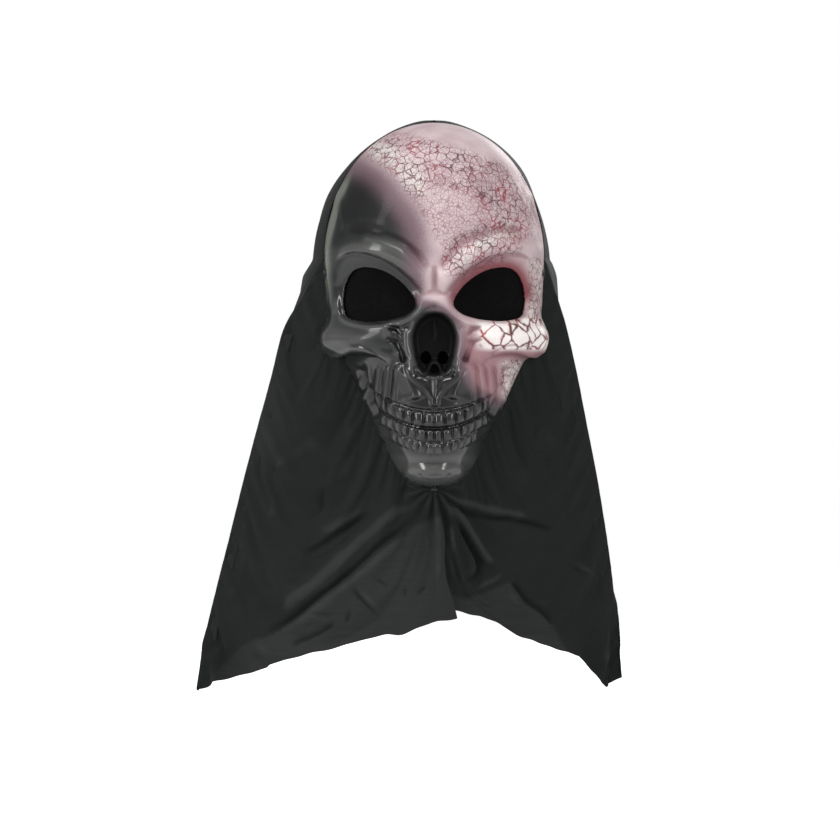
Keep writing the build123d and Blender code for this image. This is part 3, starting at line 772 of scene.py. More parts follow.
def woven_material(name, thin, thick, thread_mm=0.8, sheen=0.15, rough=0.82):
    """Plain-weave cloth: thin is its colour where light comes through one layer, thick elsewhere."""
    n = Nodes(name)
    weave = n.add("ShaderNodeUVMap", uv_map="weave").outputs[0]
    place = n.coordinates()
    split = n.add("ShaderNodeSeparateXYZ")
    n.put(split.inputs[0], weave)
    turns = 2 * math.pi / thread_mm
    warp = n.math("SINE", n.times(split.outputs[0], turns))
    weft = n.math("SINE", n.times(split.outputs[1], turns))
    checks = n.times(warp, weft)
    slub = n.add("ShaderNodeMapping")
    n.put(slub.inputs[0], weave)
    n.put(slub.inputs["Scale"], (0.02, 0.5, 1.0))
    streak = n.noise(slub.outputs[0], 1.0, 4.0, 0.6)
    cloud = n.noise(place, 14.0, 4.0, 0.55)
    colour = n.mix(n.attribute("single"), thick, thin)
    shade = n.plus(n.times(streak, 0.5), n.times(cloud, 0.5))
    colour = n.mix(n.between(shade, 0.3, 0.7, 0.35, 0.0), colour, rgb(14, 15, 15))
    # painted shade in the creases
    colour = n.mix(n.times(n.attribute("crease_shade"), 0.6), colour, rgb(6, 7, 7))
    # painted highlight on the crests of the folds
    colour = n.mix(n.times(n.attribute("crest_highlight"), 0.35), colour, rgb(62, 64, 64))
    height = n.plus(n.times(checks, 0.5), n.times(streak, 0.5))
    n.set(Base_Color=colour, Roughness=rough, Sheen_Weight=sheen, Sheen_Roughness=0.5,
          Normal=n.bump(height, 0.25, 0.25), Specular_IOR_Level=0.2)
    return n.material


def set_weave(obj, across_mm, along_mm):
    """Stores millimetre thread coordinates, one pair per vertex, as a UV map."""
    mesh = obj.data
    loops = np.empty(len(mesh.loops), int)
    mesh.loops.foreach_get("vertex_index", loops)
    pairs = np.stack([across_mm, along_mm], axis=1)[loops]
    mesh.uv_layers.new(name="weave").data.foreach_set("uv", pairs.ravel().astype(np.float32))


def drape(obj, pinned, growth, free=None, cap_mm=6.0, frames=18):
    """Lets the cloth grow a little between its pinned points, so that it buckles into folds.

    No point moves further than cap_mm. The values of free, if given, scale down each point's move.
    """
    mesh = obj.data
    before = np.empty(len(mesh.vertices) * 3)
    mesh.vertices.foreach_get("co", before)
    group = obj.vertex_groups.new(name="pinned")
    group.add([int(i) for i in np.flatnonzero(pinned)], 1.0, "REPLACE")
    cloth = obj.modifiers.new("cloth", "CLOTH")
    settings = cloth.settings
    settings.quality, settings.mass = 6, 0.12
    settings.tension_stiffness = settings.compression_stiffness = 18
    settings.shear_stiffness, settings.bending_stiffness = 6, 0.6
    settings.shrink_min = -growth
    settings.vertex_group_mass = "pinned"
    settings.effector_weights.gravity = 0.2
    cloth.point_cache.frame_end = frames
    scene = bpy.context.scene
    for number in range(1, frames + 1):
        scene.frame_set(number)
    graph = bpy.context.evaluated_depsgraph_get()
    after = np.empty(len(before))
    obj.evaluated_get(graph).data.vertices.foreach_get("co", after)
    obj.modifiers.clear()
    scene.frame_set(1)
    move = (after - before).reshape(-1, 3)
    length = np.linalg.norm(move, axis=1, keepdims=True)
    move *= cap_mm * MM * np.tanh(length / (cap_mm * MM)) / np.maximum(length, TINY)
    if free is not None:
        move *= free.reshape(-1, 1)
    mesh.vertices.foreach_set("co", (before.reshape(-1, 3) + move).ravel())
    obj.vertex_groups.clear()
    mesh.update()


# ---- hood --------------------------------------------------------------------------------------
# Lines are (x, z) seen from the front, in millimetres. Side -1 is the left of the picture.
CHIN_TACK = (0.0, -147.6)
TEMPLE_Z = 30.0                  # above this height the hood's edge runs straight up behind the rim
SIDE_LINE = {
    -1: [(-86.0, 30), (-101, 4), (-117, -22), (-127.5, -62), (-139.5, -105), (-150.5, -147), (-161, -189),
         (-171.5, -230), (-180.5, -269), (-186.3, -304.7)],
    1: [(86.0, 30), (95, 4), (102.5, -20), (110.5, -54), (119.4, -99), (127, -138), (134, -180), (139, -218),
        (143.4, -260), (146.6, -294.3)],
}
# The hem runs from the slit to the side; a new list starts at each sharp corner.
HEM = {
    -1: [[(15.4, -243.7), (8, -245.5), (-3, -246.2), (-16, -250.5), (-29, -255.8), (-41, -255.6), (-55, -259),
          (-68, -262), (-79, -266.5), (-96, -270), (-112, -275), (-127, -280.5), (-131, -284), (-157, -292.8),
          (-186.3, -304.7)]],
    1: [[(15.8, -236.5), (28, -239.5), (41, -243), (54, -249), (63, -255.5), (74, -260), (92, -267),
         (109.4, -274.3)],
        [(109.4, -274.3), (119, -287), (130.8, -301.6)], [(130.8, -301.6), (139, -297.6), (146.6, -294.3)]],
}
SLIT = {
    -1: [(0.3, -148), (4.0, -163), (8.4, -180), (7.6, -200), (9.0, -216), (12.5, -230), (15.4, -243.7)],
    1: [(0.8, -148), (4.4, -163), (8.8, -180), (8.0, -200), (9.4, -216), (12.9, -229), (15.8, -236.5)],
}
# Folds: line, height, and how far it spreads to the left and right of its direction. A line that runs
# to the left has its left side below it.
FOLDS = {
    -1: [([(-7, -150), (-29, -163), (-49, -177), (-69, -196), (-84, -209), (-103, -226), (-126, -248)],
          5.0, 4.5, 8.0),
         ([(-11, -161), (-28, -177), (-45, -190), (-57, -200), (-72, -213), (-104, -239), (-123, -253),
           (-148, -269)], -4.2, 1.7, 2.6),
         ([(-16, -172), (-50, -202), (-76, -222), (-104, -245), (-130, -262)], 2.4, 5.0, 4.0),
         ([(-52, -163), (-72, -175), (-90, -188), (-104, -195)], -3.4, 3.2, 1.7),
         ([(-26, -152), (-58, -163), (-92, -182)], 2.2, 3.0, 7.0),
         ([(-85, -134), (-87, -150), (-90, -162), (-105, -172)], -2.6, 1.8, 4.5),
         ([(-119, -118), (-124, -150), (-128, -176)], 1.6, 8, 3),
         ([(-132, -128), (-120, -131), (-112, -126)], -1.6, 2.0, 3.0),
         ([(-143, -160), (-150, -200), (-158, -240)], 2.2, 6, 12),
         ([(-67, -212), (-61, -223), (-50, -235), (-40, -248)], -3.2, 1.3, 1.8),
         ([(-63, -211), (-57, -222), (-47, -233), (-38, -244)], 2.2, 2.0, 1.6),
         ([(-51, -208), (-42, -215), (-32, -225)], -2.6, 1.5, 2.2),
         ([(-26, -214), (-25, -222), (-24, -232)], -2.0, 1.5, 3.0),
         ([(-3, -215), (-11, -221), (-20, -229)], -2.6, 1.5, 2.2),
         ([(-9, -177), (-6, -186), (-4, -196)], 1.8, 1.5, 2.5),
         ([(2, -160), (5, -178), (4, -200), (3, -216)], 2.6, 3.0, 4.0),
         ([(-65, -233), (-67, -241), (-71, -251)], -2.6, 1.4, 2.4),
         ([(-75, -245), (-93, -256), (-115, -266)], -2.4, 1.6, 2.6),
         ([(-103, -238), (-90, -240), (-74, -243)], -1.8, 2.4, 1.6),
         ([(-150, -267), (-140, -273), (-128, -281)], -2.2, 1.6, 2.4),
         ([(-143, -262), (-134, -268), (-122, -276)], 1.6, 2.0, 2.6),
         ([(-40, -150), (-84, -118), (-122, -84)], 1.8, 10, 12),
         ([(-54, -96), (-92, -112), (-130, -128)], 2.0, 9, 12)],
    1: [([(5, -150), (14, -156), (23, -161), (42, -165.3), (60, -166.4), (79, -171.5), (96, -177)],
         -4.4, 1.7, 2.2),
        ([(12, -151), (40, -160), (78, -166)], 2.4, 4.0, 3.0),
        ([(8, -152), (14, -158), (23, -167), (33, -184), (41, -196), (50, -201)], 4.6, 2.6, 3.4),
        ([(45, -198), (51.5, -204), (49, -211), (38, -217), (24, -227)], 3.6, 2.2, 3.0),
        ([(19, -168), (27, -184), (34, -198), (34, -208), (24, -216)], -4.6, 3.4, 2.0),
        ([(57, -212), (64, -221), (72, -231), (84, -240), (92, -252)], -3.6, 3.0, 1.6),
        ([(52, -214), (60, -226), (70, -238)], 2.0, 2.2, 4.0),
        ([(4, -154), (10, -170), (9, -200), (12, -226)], -3.2, 2.4, 2.0),
        ([(8, -162), (14, -178), (16, -200)], 2.4, 2.0, 2.4),
        ([(18, -219), (25, -214), (32, -211)], -2.2, 1.5, 1.8),
        ([(26, -229), (36, -231), (52, -236)], -2.0, 1.6, 2.2),
        ([(88, -174), (100, -168), (122, -171)], -1.6, 2.0, 4.0),
        ([(70, -120), (92, -158), (108, -200)], 1.8, 9, 12),
        ([(88, -92), (104, -140), (118, -190)], 2.0, 8, 10),
        ([(100, -196), (110, -203), (122, -211), (132, -220)], 2.2, 1.8, 3.2),
        ([(100, -200), (110, -207), (121, -216)], -2.0, 1.6, 2.0),
        ([(60, -150), (84, -112), (104, -76)], 1.6, 9, 9),
        ([(112, -232), (124, -256), (132, -288)], 2.0, 8, 6)],
}
# The line under which only one layer of cloth hangs, so that light comes through.
ONE_LAYER = {
    -1: [(20, -160), (-16, -172), (-49, -197), (-71, -215), (-109, -243), (-149, -267), (-190, -312)],
    1: [(14, -224), (24, -227.5), (42, -221), (60, -213), (70, -228), (84, -240), (94, -253), (104, -275)],
}
HOOD_BACK_Y = 117.5
DOME_BOTTOM_Z = 30.0
BACK_HEM_Z = -225.0
BACK_HEM_SWEEP = 2.4             # how fast the back hem rises behind its front corners
CLOTH_MIDDLE = 0.5               # from the plane of a front panel to the middle of its cloth
FOLD_REACH = 0.012               # metres to each side of a flap's fold, by which the direction across the fold is scaled
FRONT_COLUMNS, FRONT_ROWS = 140, 120
BACK_COLUMNS, BACK_ROWS = 70, 120
# How far the hood stands out beyond its front edge: (z, left, right).
BULGE = ((-320, 4, 4), (-120, 5, 5), (-20, 6, 5), (0, 17, 10), (20, 24, 14), (50, 19, 8), (75, 15, 5),
         (99, 9, 5.5), (122, 5, 4.4), (134, 3.2, 3.0), (139, 2.2, 2.2))


def rim_line(side, inset):
    """The shell's rim from the chin up to the crown as (x, y, z) points, drawn in by inset."""
    rows = skull_profile()
    x, y = section(rows[:, 1], rows[:, 2], rim_angle(rows))
    keep = rows[:, 1] > 6
    points = xyz(x, y, rows[:, 0])[keep][::-1]
    pull = points - (0, 0, -10.0)
    pull[:, 1] = 0
    points -= inset * pull / np.linalg.norm(pull, axis=1, keepdims=True)
    return points * (side, 1, 1)


def panel_y(x, side):
    """The plane in which one front panel hangs."""
    return CHIN_RIM_Y + JAW_SLOPE * side * x


def coons(bottom, top, left, right):
    """Points of a sheet between four edges: bottom and top run along u, left and right along v."""
    u = np.linspace(0, 1, len(bottom))[None, :, None]
    v = np.linspace(0, 1, len(left))[:, None, None]
    along = (1 - v) * bottom[None] + v * top[None]
    across = (1 - u) * left[:, None] + u * right[:, None]
    corners = ((1 - u) * (1 - v) * bottom[0] + u * (1 - v) * bottom[-1]
               + (1 - u) * v * top[0] + u * v * top[-1])
    return along + across - corners


def front_sheet(side):
    """Points of one front panel with its flap, in rows from the jaw to the hem, and its folds' height."""
    rim = rim_line(side, 3.0)
    rim = rim[rim[:, 2] < TEMPLE_Z]
    edge = np.vstack([[SLIT[side][0]], rim[:, (0, 2)], [SIDE_LINE[side][0]]])
    top = curve(edge[[0] + list(range(2, len(edge) - 1, 4)) + [-1]], FRONT_COLUMNS)
    hem = cornered(HEM[side], FRONT_COLUMNS)
    run = np.linspace(0, 1, FRONT_COLUMNS)
    ripple = np.sin(run * 47 + side) * np.sin(run * 19)
    hem[:, 1] += 0.5 * ripple * smooth(run, 0, 0.04) * (1 - smooth(run, 0.9, 0.97))
    slit = curve(SLIT[side], FRONT_ROWS)
    seam = curve(SIDE_LINE[side], FRONT_ROWS)
    flat = coons(top, hem, slit, seam)
    x, z = flat[..., 0], flat[..., 1]
    out = np.zeros(x.shape)
    for line, height, left, right in FOLDS[side]:
        line = curve(line, 24)
        share, fade = (1.0, 0.2) if np.linalg.norm(line[-1] - line[0]) > 45 else (0.75, 0.5)
        out += height * share * step_ridge(x, z, line, 1.0, left, right, fade)
    out += 0.8 * np.sin(x / 9.0 + z / 23.0) * np.sin(z / 14.0 - x / 31.0)
    out += 0.25 * np.sin(x / 3.1 - z / 7.0 + 2 * np.sin(z / 19)) * np.sin(z / 4.3 + x / 11.0)
    v = np.linspace(0, 1, FRONT_ROWS)[:, None]
    u = np.linspace(0, 1, FRONT_COLUMNS)[None, :]
    away = np.hypot(x - CHIN_TACK[0], z - CHIN_TACK[1])
    out *= smooth(v, 0, 0.12) * (1 - smooth(u, 0.93, 1.0)) * smooth(away, 2, 26)
    around = np.arctan2(x - CHIN_TACK[0], CHIN_TACK[1] + 3 - z)
    gather = 1.6 * np.sin(around * 13) * bell(away - 12, 14)
    out += gather * smooth(v, 0, 0.06)
    normal = np.array((JAW_SLOPE * side, -1.0)) / math.hypot(JAW_SLOPE, 1.0)
    y = panel_y(x, side) + CLOTH_MIDDLE
    return xyz(x + out * normal[0], y + out * normal[1], z), out


def sheet_object(name, points, material, single=0.0, lift=None, flat=None, shade=0.0):
    """A cloth sheet with thread coordinates, and its painted light share, painted shade in its creases and
    painted highlight on its crests stored on it.
    """
    rows, columns = points.shape[:2]
    obj = mesh_object(name, points.reshape(-1, 3), grid_faces(rows, columns), material)
    if flat is None:
        across, along = np.zeros((rows, columns)), np.zeros((rows, columns))
        across[:, 1:] = np.cumsum(np.linalg.norm(np.diff(points, axis=1), axis=2), axis=1)
        along[1:] = np.cumsum(np.linalg.norm(np.diff(points, axis=0), axis=2), axis=0)
    else:
        across, along = flat
    set_weave(obj, across.ravel(), along.ravel())
    level = np.zeros((rows, columns))
    valley = level if lift is None else spread(lift, 40) - lift
    store_shares(obj, {"single": level + single, "crease_shade": np.maximum(smooth(valley, 0.25, 1.9), shade),
                       "crest_highlight": smooth(-valley, 0.4, 2.2)})
    return obj


# Per side: how much light comes through by the side seam, and the |x| over which a flap's tip darkens.
SIDE_GLOW = {-1: 0.75, 1: 0.3}
TIP_SHADE = {-1: (132, 168), 1: (102, 118)}


def make_front(side, material):
    """A front panel and its flap as one cloth sheet."""
    name = SIDES[side]
    points, lift = front_sheet(side)
    x, z = points[..., 0], points[..., 2]
    signed, _ = to_line(x, z, ONE_LAYER[side])
    glow = SIDE_GLOW[side] * smooth(side * x, 108, 134) * smooth(z, -150, -95)
    single = np.maximum(smooth(signed * -side, -1.5, 3.0), glow)
    tip = smooth(-z, 235, 275) * smooth(side * x, *TIP_SHADE[side])
    obj = sheet_object(f"hood_front_{name}_cloth", points, material, single, lift, (x, z), 0.7 * tip)
    if side < 0:
        obj.data.flip_normals()
    pinned = np.zeros(points.shape[:2], bool)
    pinned[0], pinned[:, -1], pinned[-1, -8:], pinned[:3, 0] = True, True, True, True
    drape(obj, pinned.ravel(), growth=0.035)
    thicken(obj, CLOTH_WALL, levels=1)
    settle(obj, None, "hood_cloth", f"hood_front_{name}", f"{name}_front_flap")
    bend_at_fold(obj, side)


def bend_at_fold(obj, side):
    """Finds the flap's joint and the direction across its fold, and bakes the sheet's transform into its
    mesh.
    """
    joint = next(j for j in frame["joints"] if j["name"].startswith(SIDES[side]))
    axis = np.array(joint["axis"])
    out = np.array((JAW_SLOPE * side, -1.0, 0.0))
    out /= np.linalg.norm(out)
    across = np.cross(axis, out)
    across /= np.linalg.norm(across)
    across *= -1 if across[2] > 0 else 1
    across *= FOLD_REACH
    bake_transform(obj)


def back_sheet(side):
    """Points of one half of the hood's crown, side and back, in rows from the crown to the hem.

    Every row runs from the front edge of the hood to its centre seam at the back.
    """
    rim = rim_line(side, 0.6)
    rim = rim[rim[:, 2] > TEMPLE_Z][::-1]
    rim[:, 1] = 0.5
    seam = np.array(SIDE_LINE[side])
    seam = xyz(seam[:, 0], panel_y(seam[:, 0], side) + CLOTH_MIDDLE, seam[:, 1])
    start = curve(np.vstack([[0.0, 0.5, rim[0, 2] + 0.5], rim[::6], seam]), BACK_ROWS)
    crown_z = start[0, 2]
    share = np.linspace(0, 1, BACK_ROWS)
    height = start[:, 2] - DOME_BOTTOM_Z
    hanging = DOME_BOTTOM_Z + height * (BACK_HEM_Z - DOME_BOTTOM_Z) / height[-1]
    end_z = np.where(height > 0, start[:, 2], hanging)
    rise = np.clip((end_z - DOME_BOTTOM_Z) / (crown_z - DOME_BOTTOM_Z), 0, 1)
    dome = HOOD_BACK_Y * (1 - rise**DOME_POWER) ** (1 / DOME_POWER)
    end_y = np.maximum(dome, start[:, 1] + 6 * smooth(rise, 0.8, 1.0))
    end_z = end_z + 2.6 * smooth(rise, 0.8, 0.97)
    table = np.array(BULGE)
    bulge = np.interp(start[:, 2], table[:, 0], table[:, 1 if side < 0 else 2])
    angle = (math.pi / 2 * np.linspace(0, 1, BACK_COLUMNS) ** 1.25)[None, :]
    cosine, sine = np.clip(np.cos(angle), 0, 1), np.sin(angle)
    cosine[:, -1] = 0
    reach = cosine ** (2 / DOME_POWER)
    swell = bulge[:, None] * np.abs(2 * sine * cosine) ** 0.7 * smooth(end_y - start[:, 1], 2, 30)[:, None]
    radial = unit(np.stack([np.abs(start[:, 0]), np.clip(height, 0, None)], axis=1) + (1e-3, 0))
    x = side * (np.abs(start[:, :1]) * reach + swell * radial[:, :1])
    y = start[:, 1:2] + (end_y[:, None] - start[:, 1:2]) * sine ** (2 / DOME_POWER)
    z = start[:, 2:3] + (end_z - start[:, 2])[:, None] * (1 - reach**BACK_HEM_SWEEP) + swell * radial[:, 1:]
    points = xyz(x, y, z)
    normal = -grid_normals(points) * side
    drop = smooth(-z, -60, 240)
    turn = angle * 9.0 + 0.6 * np.sin(z / 60.0 + side)
    folds = (1.5 + 5.0 * drop) * np.sin(turn + 0.9 * side) * (0.65 + 0.35 * np.sin(turn * 0.37 + 1.0))
    folds += 1.2 * np.sin(z / 17.0 + angle * 5) * np.sin(angle * 7 + z / 41.0)
    edge = smooth(angle, 0.0, 0.30) * smooth(np.abs(x), 15, 42)
    top = smooth(share, 0.0, 0.2)[:, None]
    folds = folds * edge * top
    return points + normal * folds[..., None], folds


def make_back(side, material):
    """One half of the hood's crown, side and back."""
    name = SIDES[side]
    points, lift = back_sheet(side)
    shade = (1 - smooth(points[..., 1], 14, 46)) * smooth(points[..., 2], -20, 20)
    obj = sheet_object(f"hood_back_{name}_cloth", points, material, lift=0.6 * lift, shade=shade)
    pinned = np.zeros(points.shape[:2], bool)
    pinned[0], pinned[:, 0], pinned[:, -1] = True, True, True
    free = (1 - smooth(points[..., 2], -40, 40)) * smooth(np.abs(points[..., 0]), 15, 42)
    drape(obj, pinned.ravel(), growth=0.03, free=free)
    thicken(obj, CLOTH_WALL, levels=1)
    settle(obj, "mask", "hood_cloth", f"hood_back_{name}")


def make_hood():
    material = woven_material("black_hood_cloth", rgb(40, 41, 41), rgb(23, 27, 26), sheen=0.05)
    for side in SIDES:
        make_front(side, material)
        make_back(side, material)


# ---- tapes, thread, strap and label ------------------------------------------------------------
TAPE_WALL = 0.7
SEAM_TAPE_OUT = 0.6              # from the middle of the hood's back to the middle of the tape on it
BEHIND_CLOTH = 1.15              # from the front cloth's middle to the middle of a tape behind it


def ribbon(name, node, edges, material, columns=5, wall=TAPE_WALL, cords=0, body="mask",
           slot="binding_tape", wave=0.12):
    """A flat band in place of a CAD node, between two lines of points, with raised cords if wanted."""
    first, second = (np.array(edge, float) for edge in edges)
    share = np.linspace(0, 1, columns)[None, :, None]
    points = first[:, None] * (1 - share) + second[:, None] * share
    normal = grid_normals(points)
    run = np.arange(len(first))[:, None]
    lift = wave * np.sin(run * 0.9 + 2.0 * share[..., 0]) * np.sin(run * 0.23)
    if cords:
        lift = lift + 0.16 * np.abs(np.sin(math.pi * cords * share[..., 0]))
    points = points + normal * lift[..., None]
    obj = sheet_object(name, points, material)
    thicken(obj, wall, levels=0 if cords else 1)
    settle(obj, body, slot, node)


def tube(points, radius, sides=7):
    """Points and quads of a thin round thread along a line."""
    ahead = unit(np.gradient(points, axis=0))
    other = np.where(np.abs(ahead[:, 2:3]) < 0.9, np.array([[0, 0, 1.0]]), np.array([[1.0, 0, 0]]))
    one = unit(np.cross(ahead, other))
    two = np.cross(ahead, one)
    turn = np.linspace(0, 2 * math.pi, sides, endpoint=False)
    ends = radius * np.where(np.arange(len(points)) % (len(points) - 1) == 0, 0.35, 1.0)[:, None, None]
    ring = one[:, None] * np.cos(turn)[None, :, None] + two[:, None] * np.sin(turn)[None, :, None]
    verts = (points[:, None] + ring * ends).reshape(-1, 3)
    faces = []
    for row in range(len(points) - 1):
        for k in range(sides):
            a, b = row * sides + k, row * sides + (k + 1) % sides
            faces.append((a, a + sides, b + sides, b))
    last = (len(points) - 1) * sides
    faces.append(tuple(range(sides)))
    faces.append(tuple(last + k for k in reversed(range(sides))))
    return verts, faces


def threads_object(name, lines, radius, material, body, *nodes):
    """Many threads as one object."""
    verts, faces, start = [], [], 0
    for line in lines:
        more, quads = tube(line, radius)
        verts.append(more)
        faces += [tuple(start + k for k in quad) for quad in quads]
        start += len(more)
    obj = mesh_object(name, np.vstack(verts), faces, material)
    settle(obj, body, "thread", *nodes)


def stitches(points, length=2.4, gap=1.0, arch=0.25, out=(0, -1, 0)):
    """Short threads that follow a line one after another, each a little arched."""
    position = distances(points)
    share = np.linspace(0, 1, 5)
    lift = np.array(out) * (arch * np.sin(math.pi * share))[:, None]
    starts = np.arange(0.5, position[-1] - length, length + gap)
    return [along_line(points, position, start + length * share) + lift for start in starts]


def make_bindings(black_thread):
    """Tapes that join the hood to the face, and the tapes over the hood's seams."""
    tape = woven_material("binding_tape", rgb(34, 35, 35), rgb(24, 25, 26), thread_mm=0.5)
    arcs = []
    for inset, y in ((SHELL_WALL + 0.9, 0.0), (SHELL_WALL + 1.1, -7.6)):
        right = rim_line(1, inset)
        right = right[right[:, 2] > -18]
        right[:, 0] -= 3.2 * bell(right[:, 2] - 80, 26)     # follows the hollow of the temples
        right[:, 1] = y
        arcs.append(curve(np.vstack([right[::4], (right[::4] * (-1, 1, 1))[::-1]]), 150))
    ribbon("crown_binding_tape", "crown_binding", arcs, tape)
    for side, name in SIDES.items():
        edges = []
        for inset in (2.6, -3.8):
            line = rim_line(side, inset)
            line = line[line[:, 2] < -28]
            line[:, 1] = panel_y(line[:, 0], side) + BEHIND_CLOTH + 0.1
            edges.append(curve(line[::4], 90))
        ribbon(f"{name}_jaw_binding_tape", f"{name}_jaw_binding", edges, tape)
        seam = curve(SIDE_LINE[side], 200)
        seam = seam[(seam[:, 1] < -26) & (seam[:, 1] > -268)]
        edges = []
        for reach in (3.2, 8.8):
            x = seam[:, 0] - side * reach
            edges.append(xyz(x, panel_y(x, side) + BEHIND_CLOTH + 0.5, seam[:, 1]))
        ribbon(f"{name}_side_seam_tape", f"{name}_side_seam", edges, tape)
    z = np.linspace(9.5, -221.5, 120)
    y = HOOD_BACK_Y + SEAM_TAPE_OUT
    edges = [xyz(x, y, z) for x in (-5.9, 5.9)]
    ribbon("centre_seam_tape_cloth", "centre_seam_tape", edges, tape, 7, wall=0.6, wave=0.05)
    rows = []
    for x in (-4.6, 4.6):
        rows += stitches(xyz(x, y + 0.3, z), out=(0, 1, 0), arch=0.1)
    threads_object("centre_seam_stitches", rows, 0.16, black_thread, "mask")


def thread_material(name, dark, light):
    n = Nodes(name)
    twist = n.noise(n.coordinates(), 1500.0, 2.0)
    n.set(Base_Color=n.mix(twist, dark, light), Roughness=0.6, Sheen_Weight=0.3,
          Normal=n.bump(twist, 0.5, 0.1))
    return n.material


def make_chin_tack(black_thread):
    """A bundle of thread wound round the two gathered front edges."""
    low, high = box_mm("chin_tack")
    middle, reach = (low + high) / 2, (high - low) / 2
    lines = []
    turn = np.linspace(0, 2 * math.pi, 90)
    for k, place in enumerate((-1.0, -0.55, -0.1, 0.35, 0.8)):
        x = middle[0] + place * (reach[0] - 0.5) + 0.35 * np.sin(turn + k)
        y = middle[1] + (reach[1] - 0.35) * np.cos(turn)
        z = middle[2] + (reach[2] - 0.35) * np.sin(turn) + 0.12 * np.sin(3 * turn + k)
        lines.append(xyz(x, y, z)[:-1])
    down = np.linspace(0, 1, 12)
    for side in SIDES:
        x = middle[0] + side * (0.6 + 1.6 * down)
        z = middle[2] - reach[2] * (0.2 + 0.7 * down)
        lines.append(xyz(x, middle[1] - reach[1] + 0.35, z))
    threads_object("chin_tack_threads", lines, 0.34, black_thread, "mask", "chin_tack")


def make_strap(black_thread):
    """Ribbed elastic band round the back of the head."""
    low, high = box_mm("head_strap")
    half = (high[0] - low[0]) / 2 - 0.7
    front, back = low[1], high[1] - 0.7
    bend_y = 20.0
    angle = np.linspace(0, math.pi, 120)
    cosine, sine = np.cos(angle), np.sin(angle)
    power = 2 / 2.2
    bend = np.stack([half * np.sign(cosine) * np.abs(cosine) ** power,
                     bend_y + (back - bend_y) * np.abs(sine) ** power], axis=1)
    line = curve(np.vstack([[half, front + 0.3], [half, 0.0], bend, [-half, 0.0], [-half, front + 0.3]]), 320)
    edges = [xyz(line[:, 0], line[:, 1], z) for z in (low[2] + 0.2, high[2] - 0.2)]
    elastic = woven_material("strap_elastic", rgb(40, 41, 42), rgb(26, 27, 28), thread_mm=1.1, sheen=0.3)
    ribbon("head_strap_elastic", "head_strap", edges, elastic, 33, wall=1.0, cords=8, body="head_strap",
           slot="strap_elastic", wave=0.05)
    rows = []
    z = np.linspace(low[2] + 1.5, high[2] - 1.5, 8)
    for side in SIDES:
        for y in (front + 2.0, front + 11.5):
            for depth in (0.62, -0.62):
                line = xyz(side * (half + depth), y, z)
                rows += stitches(line, 1.6, 0.6, 0.1, out=(side * np.sign(depth), 0, 0))
    threads_object("head_strap_stitches", rows, 0.15, black_thread, "head_strap")


def make_label():
    """A blank white label hanging inside the hood, sewn along its top."""
    low, high = box_mm("care_label")
    z = np.linspace(high[2], low[2], 30)
    drop = (z[0] - z) / (z[0] - z[-1])
    y = (low[1] + high[1]) / 2 - 1.6 * drop**2 + 0.5 * np.sin(drop * 5) * drop
    cloth = woven_material("label_cloth", rgb(214, 212, 206), rgb(206, 204, 198), thread_mm=0.35)
    edges = [xyz(x, y, z) for x in (low[0], high[0])]
    ribbon("care_label_cloth", "care_label", edges, cloth, 13, wall=0.3, body="care_label",
           slot="label_cloth", wave=0.1)
    pale_thread = thread_material("pale_thread", rgb(168, 166, 160), rgb(220, 218, 212))
    x = np.linspace(low[0] + 1.5, high[0] - 1.5, 30)
    rows = []
    for y_out, way in ((y[2] - 0.2, -1), (y[2] + 0.2, 1)):
        rows += stitches(xyz(x, y_out, z[2]), 1.8, 0.7, 0.08, (0, way, 0))
    threads_object("care_label_stitches", rows, 0.13, pale_thread, "care_label")


def make_nose_mesh():
    """The patch glued behind both nostrils."""
    low, high = box_mm("nose_mesh")
    x = np.linspace(low[0], high[0], 40)
    y = (low[1] + high[1]) / 2 + 0.12 * np.sin(x * 0.8)
    edges = [xyz(x, y, z) for z in (high[2], low[2])]
    ribbon("nose_mesh_cloth", "nose_mesh", edges, bpy.data.materials["black_mesh_cloth"], 15,
           wall=MESH_CLOTH_WALL, slot="black_mesh")


def finish_fittings():
    """Materials of the two rivets and washers, whose CAD shapes stay."""
    steel = Nodes("rivet_steel")
    place = steel.coordinates()
    brushed = steel.noise(place, 800.0, 4.0, 0.7)
    spots = steel.between(steel.noise(place, 300.0, 3.0), 0.55, 0.75)
    steel.set(Base_Color=steel.mix(spots, rgb(74, 74, 76), rgb(52, 49, 46)), Metallic=1.0,
              Roughness=steel.between(brushed, 0.3, 0.7, 0.34, 0.55), Normal=steel.bump(brushed, 0.2, 0.05))
    plastic = Nodes("washer_plastic")
    grain = plastic.noise(plastic.coordinates(), 600.0, 3.0)
    plastic.set(Base_Color=plastic.mix(grain, rgb(28, 28, 29), rgb(44, 44, 45)), Roughness=0.55,
                Normal=plastic.bump(grain, 0.2, 0.08))
    for side in SIDES.values():
        for fitting, nodes in (("rivet", steel), ("washer", plastic)):
            mesh = frame["nodes"][f"{side}_strap_{fitting}"].data
            mesh.materials.clear()
            mesh.materials.append(nodes.material)


def make_fittings():
    black_thread = thread_material("black_thread", rgb(22, 23, 24), rgb(46, 47, 48))
    make_bindings(black_thread)
    make_chin_tack(black_thread)
    make_strap(black_thread)
    make_label()
    make_nose_mesh()
    finish_fittings()


# ---- stage -------------------------------------------------------------------------------------
VIEW_WIDTH = 653.0               # width of the picture at the face's rim, in millimetres
VIEW_CENTRE = (-11.0, -93.4)     # (x, z) at the middle of the picture
CAMERA_AWAY = 6000.0
FLOOR_Z, FLOOR_RADIUS = -330.0, 20000.0
FLOOR_GLOW, WORLD_GLOW, WORLD_LIGHT = 0.74, 1.0, 0.30   # glow as the camera sees it, and light it gives
AIM = (0, 0, -20)
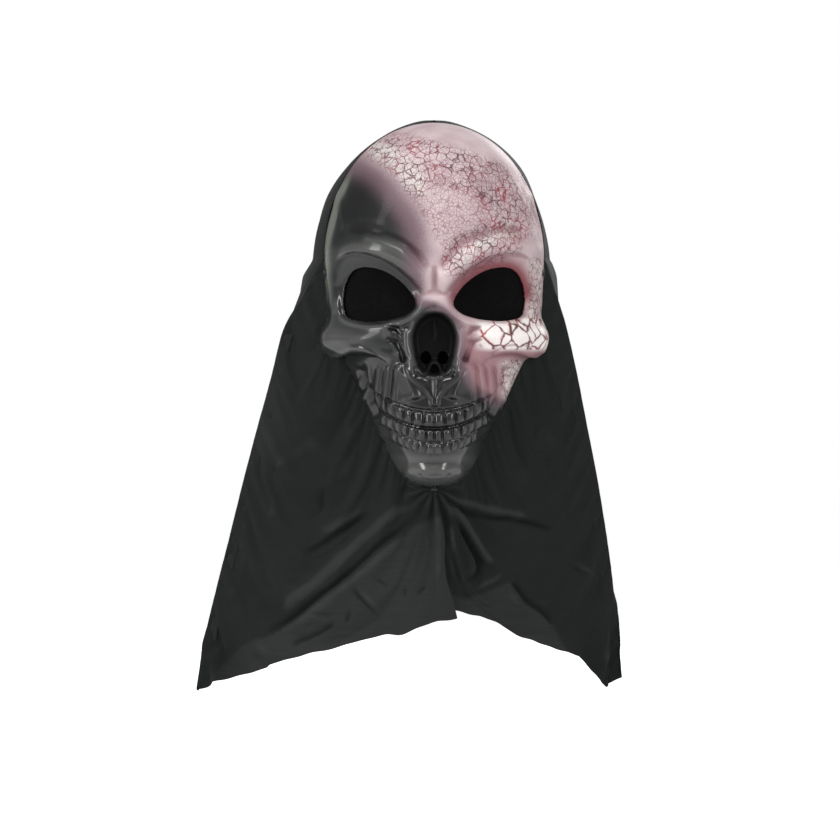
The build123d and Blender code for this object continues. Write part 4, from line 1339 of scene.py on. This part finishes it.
# Each light: place, size (both in millimetres) and watts.
LIGHTS = {
    "left_softbox": ((-1700, -900, 500), (500, 1300), 19),
    "right_softbox": ((1600, -1300, 500), (500, 1200), 14),
    "top_softbox": ((-200, -900, 1700), (1500, 700), 19),
    "front_fill": ((300, -2900, 300), (1200, 1200), 12),
    "back_fill": ((900, 2400, 900), (900, 900), 24),
}


def seen_directly(tree, direct, otherwise):
    """A strength that differs between what the camera sees and the light that falls on things."""
    ray = tree.nodes.new("ShaderNodeLightPath")
    blend = tree.nodes.new("ShaderNodeMapRange")
    blend.inputs["To Min"].default_value, blend.inputs["To Max"].default_value = otherwise, direct
    tree.links.new(ray.outputs["Is Camera Ray"], blend.inputs["Value"])
    return blend.outputs[0]


def make_floor():
    """A pale glowing floor, clear from below."""
    n = Nodes("pale_floor")
    underside = n.add("ShaderNodeNewGeometry").outputs["Backfacing"]
    n.set(Base_Color=rgb(236, 236, 236), Roughness=0.9, Emission_Color=(1, 1, 1, 1),
          Emission_Strength=seen_directly(n.tree, FLOOR_GLOW, 0.0), Alpha=n.minus(1.0, underside))
    turn = np.linspace(0, 2 * math.pi, 64, endpoint=False)
    ring = [(FLOOR_RADIUS * math.cos(a), FLOOR_RADIUS * math.sin(a), FLOOR_Z) for a in turn]
    floor = mesh_object("floor", ring, [tuple(range(64))], n.material, smooth_faces=False)


def make_lights():
    for name, (place, size, watts) in LIGHTS.items():
        data = bpy.data.lights.new(name, "AREA")
        data.shape, data.size, data.size_y = "RECTANGLE", size[0] * MM, size[1] * MM
        data.energy = watts
        light = bpy.data.objects.new(name, data)
        bpy.context.scene.collection.objects.link(light)
        light.location = np.array(place) * MM
        aim = (np.array(AIM) - np.array(place)) * MM
        light.rotation_mode = "QUATERNION"
        light.rotation_quaternion = Vector(aim).to_track_quat("-Z", "Y")
        light.visible_glossy = name != "front_fill"
    world = bpy.data.worlds.new("studio")
    world.use_nodes = True
    tree = world.node_tree
    colour, strength = tree.nodes["Background"].inputs[:2]
    colour.default_value = (1, 1, 1, 1)
    tree.links.new(seen_directly(tree, WORLD_GLOW, WORLD_LIGHT), strength)
    bpy.context.scene.world = world
    bpy.context.scene.view_settings.view_transform = "Standard"


def make_camera():
    """A far camera straight ahead, so that the picture is nearly without perspective."""
    data = bpy.data.cameras.new("camera")
    data.sensor_width = 36.0
    data.lens = data.sensor_width * CAMERA_AWAY / VIEW_WIDTH
    data.clip_end = 30
    camera = bpy.data.objects.new("camera", data)
    bpy.context.scene.collection.objects.link(camera)
    camera.location = np.array((VIEW_CENTRE[0], -CAMERA_AWAY, VIEW_CENTRE[1])) * MM
    camera.rotation_euler = (math.pi / 2, 0, 0)
    bpy.context.scene.camera = camera


make_skull()
make_hood()
make_fittings()
make_floor()
make_lights()
make_camera()
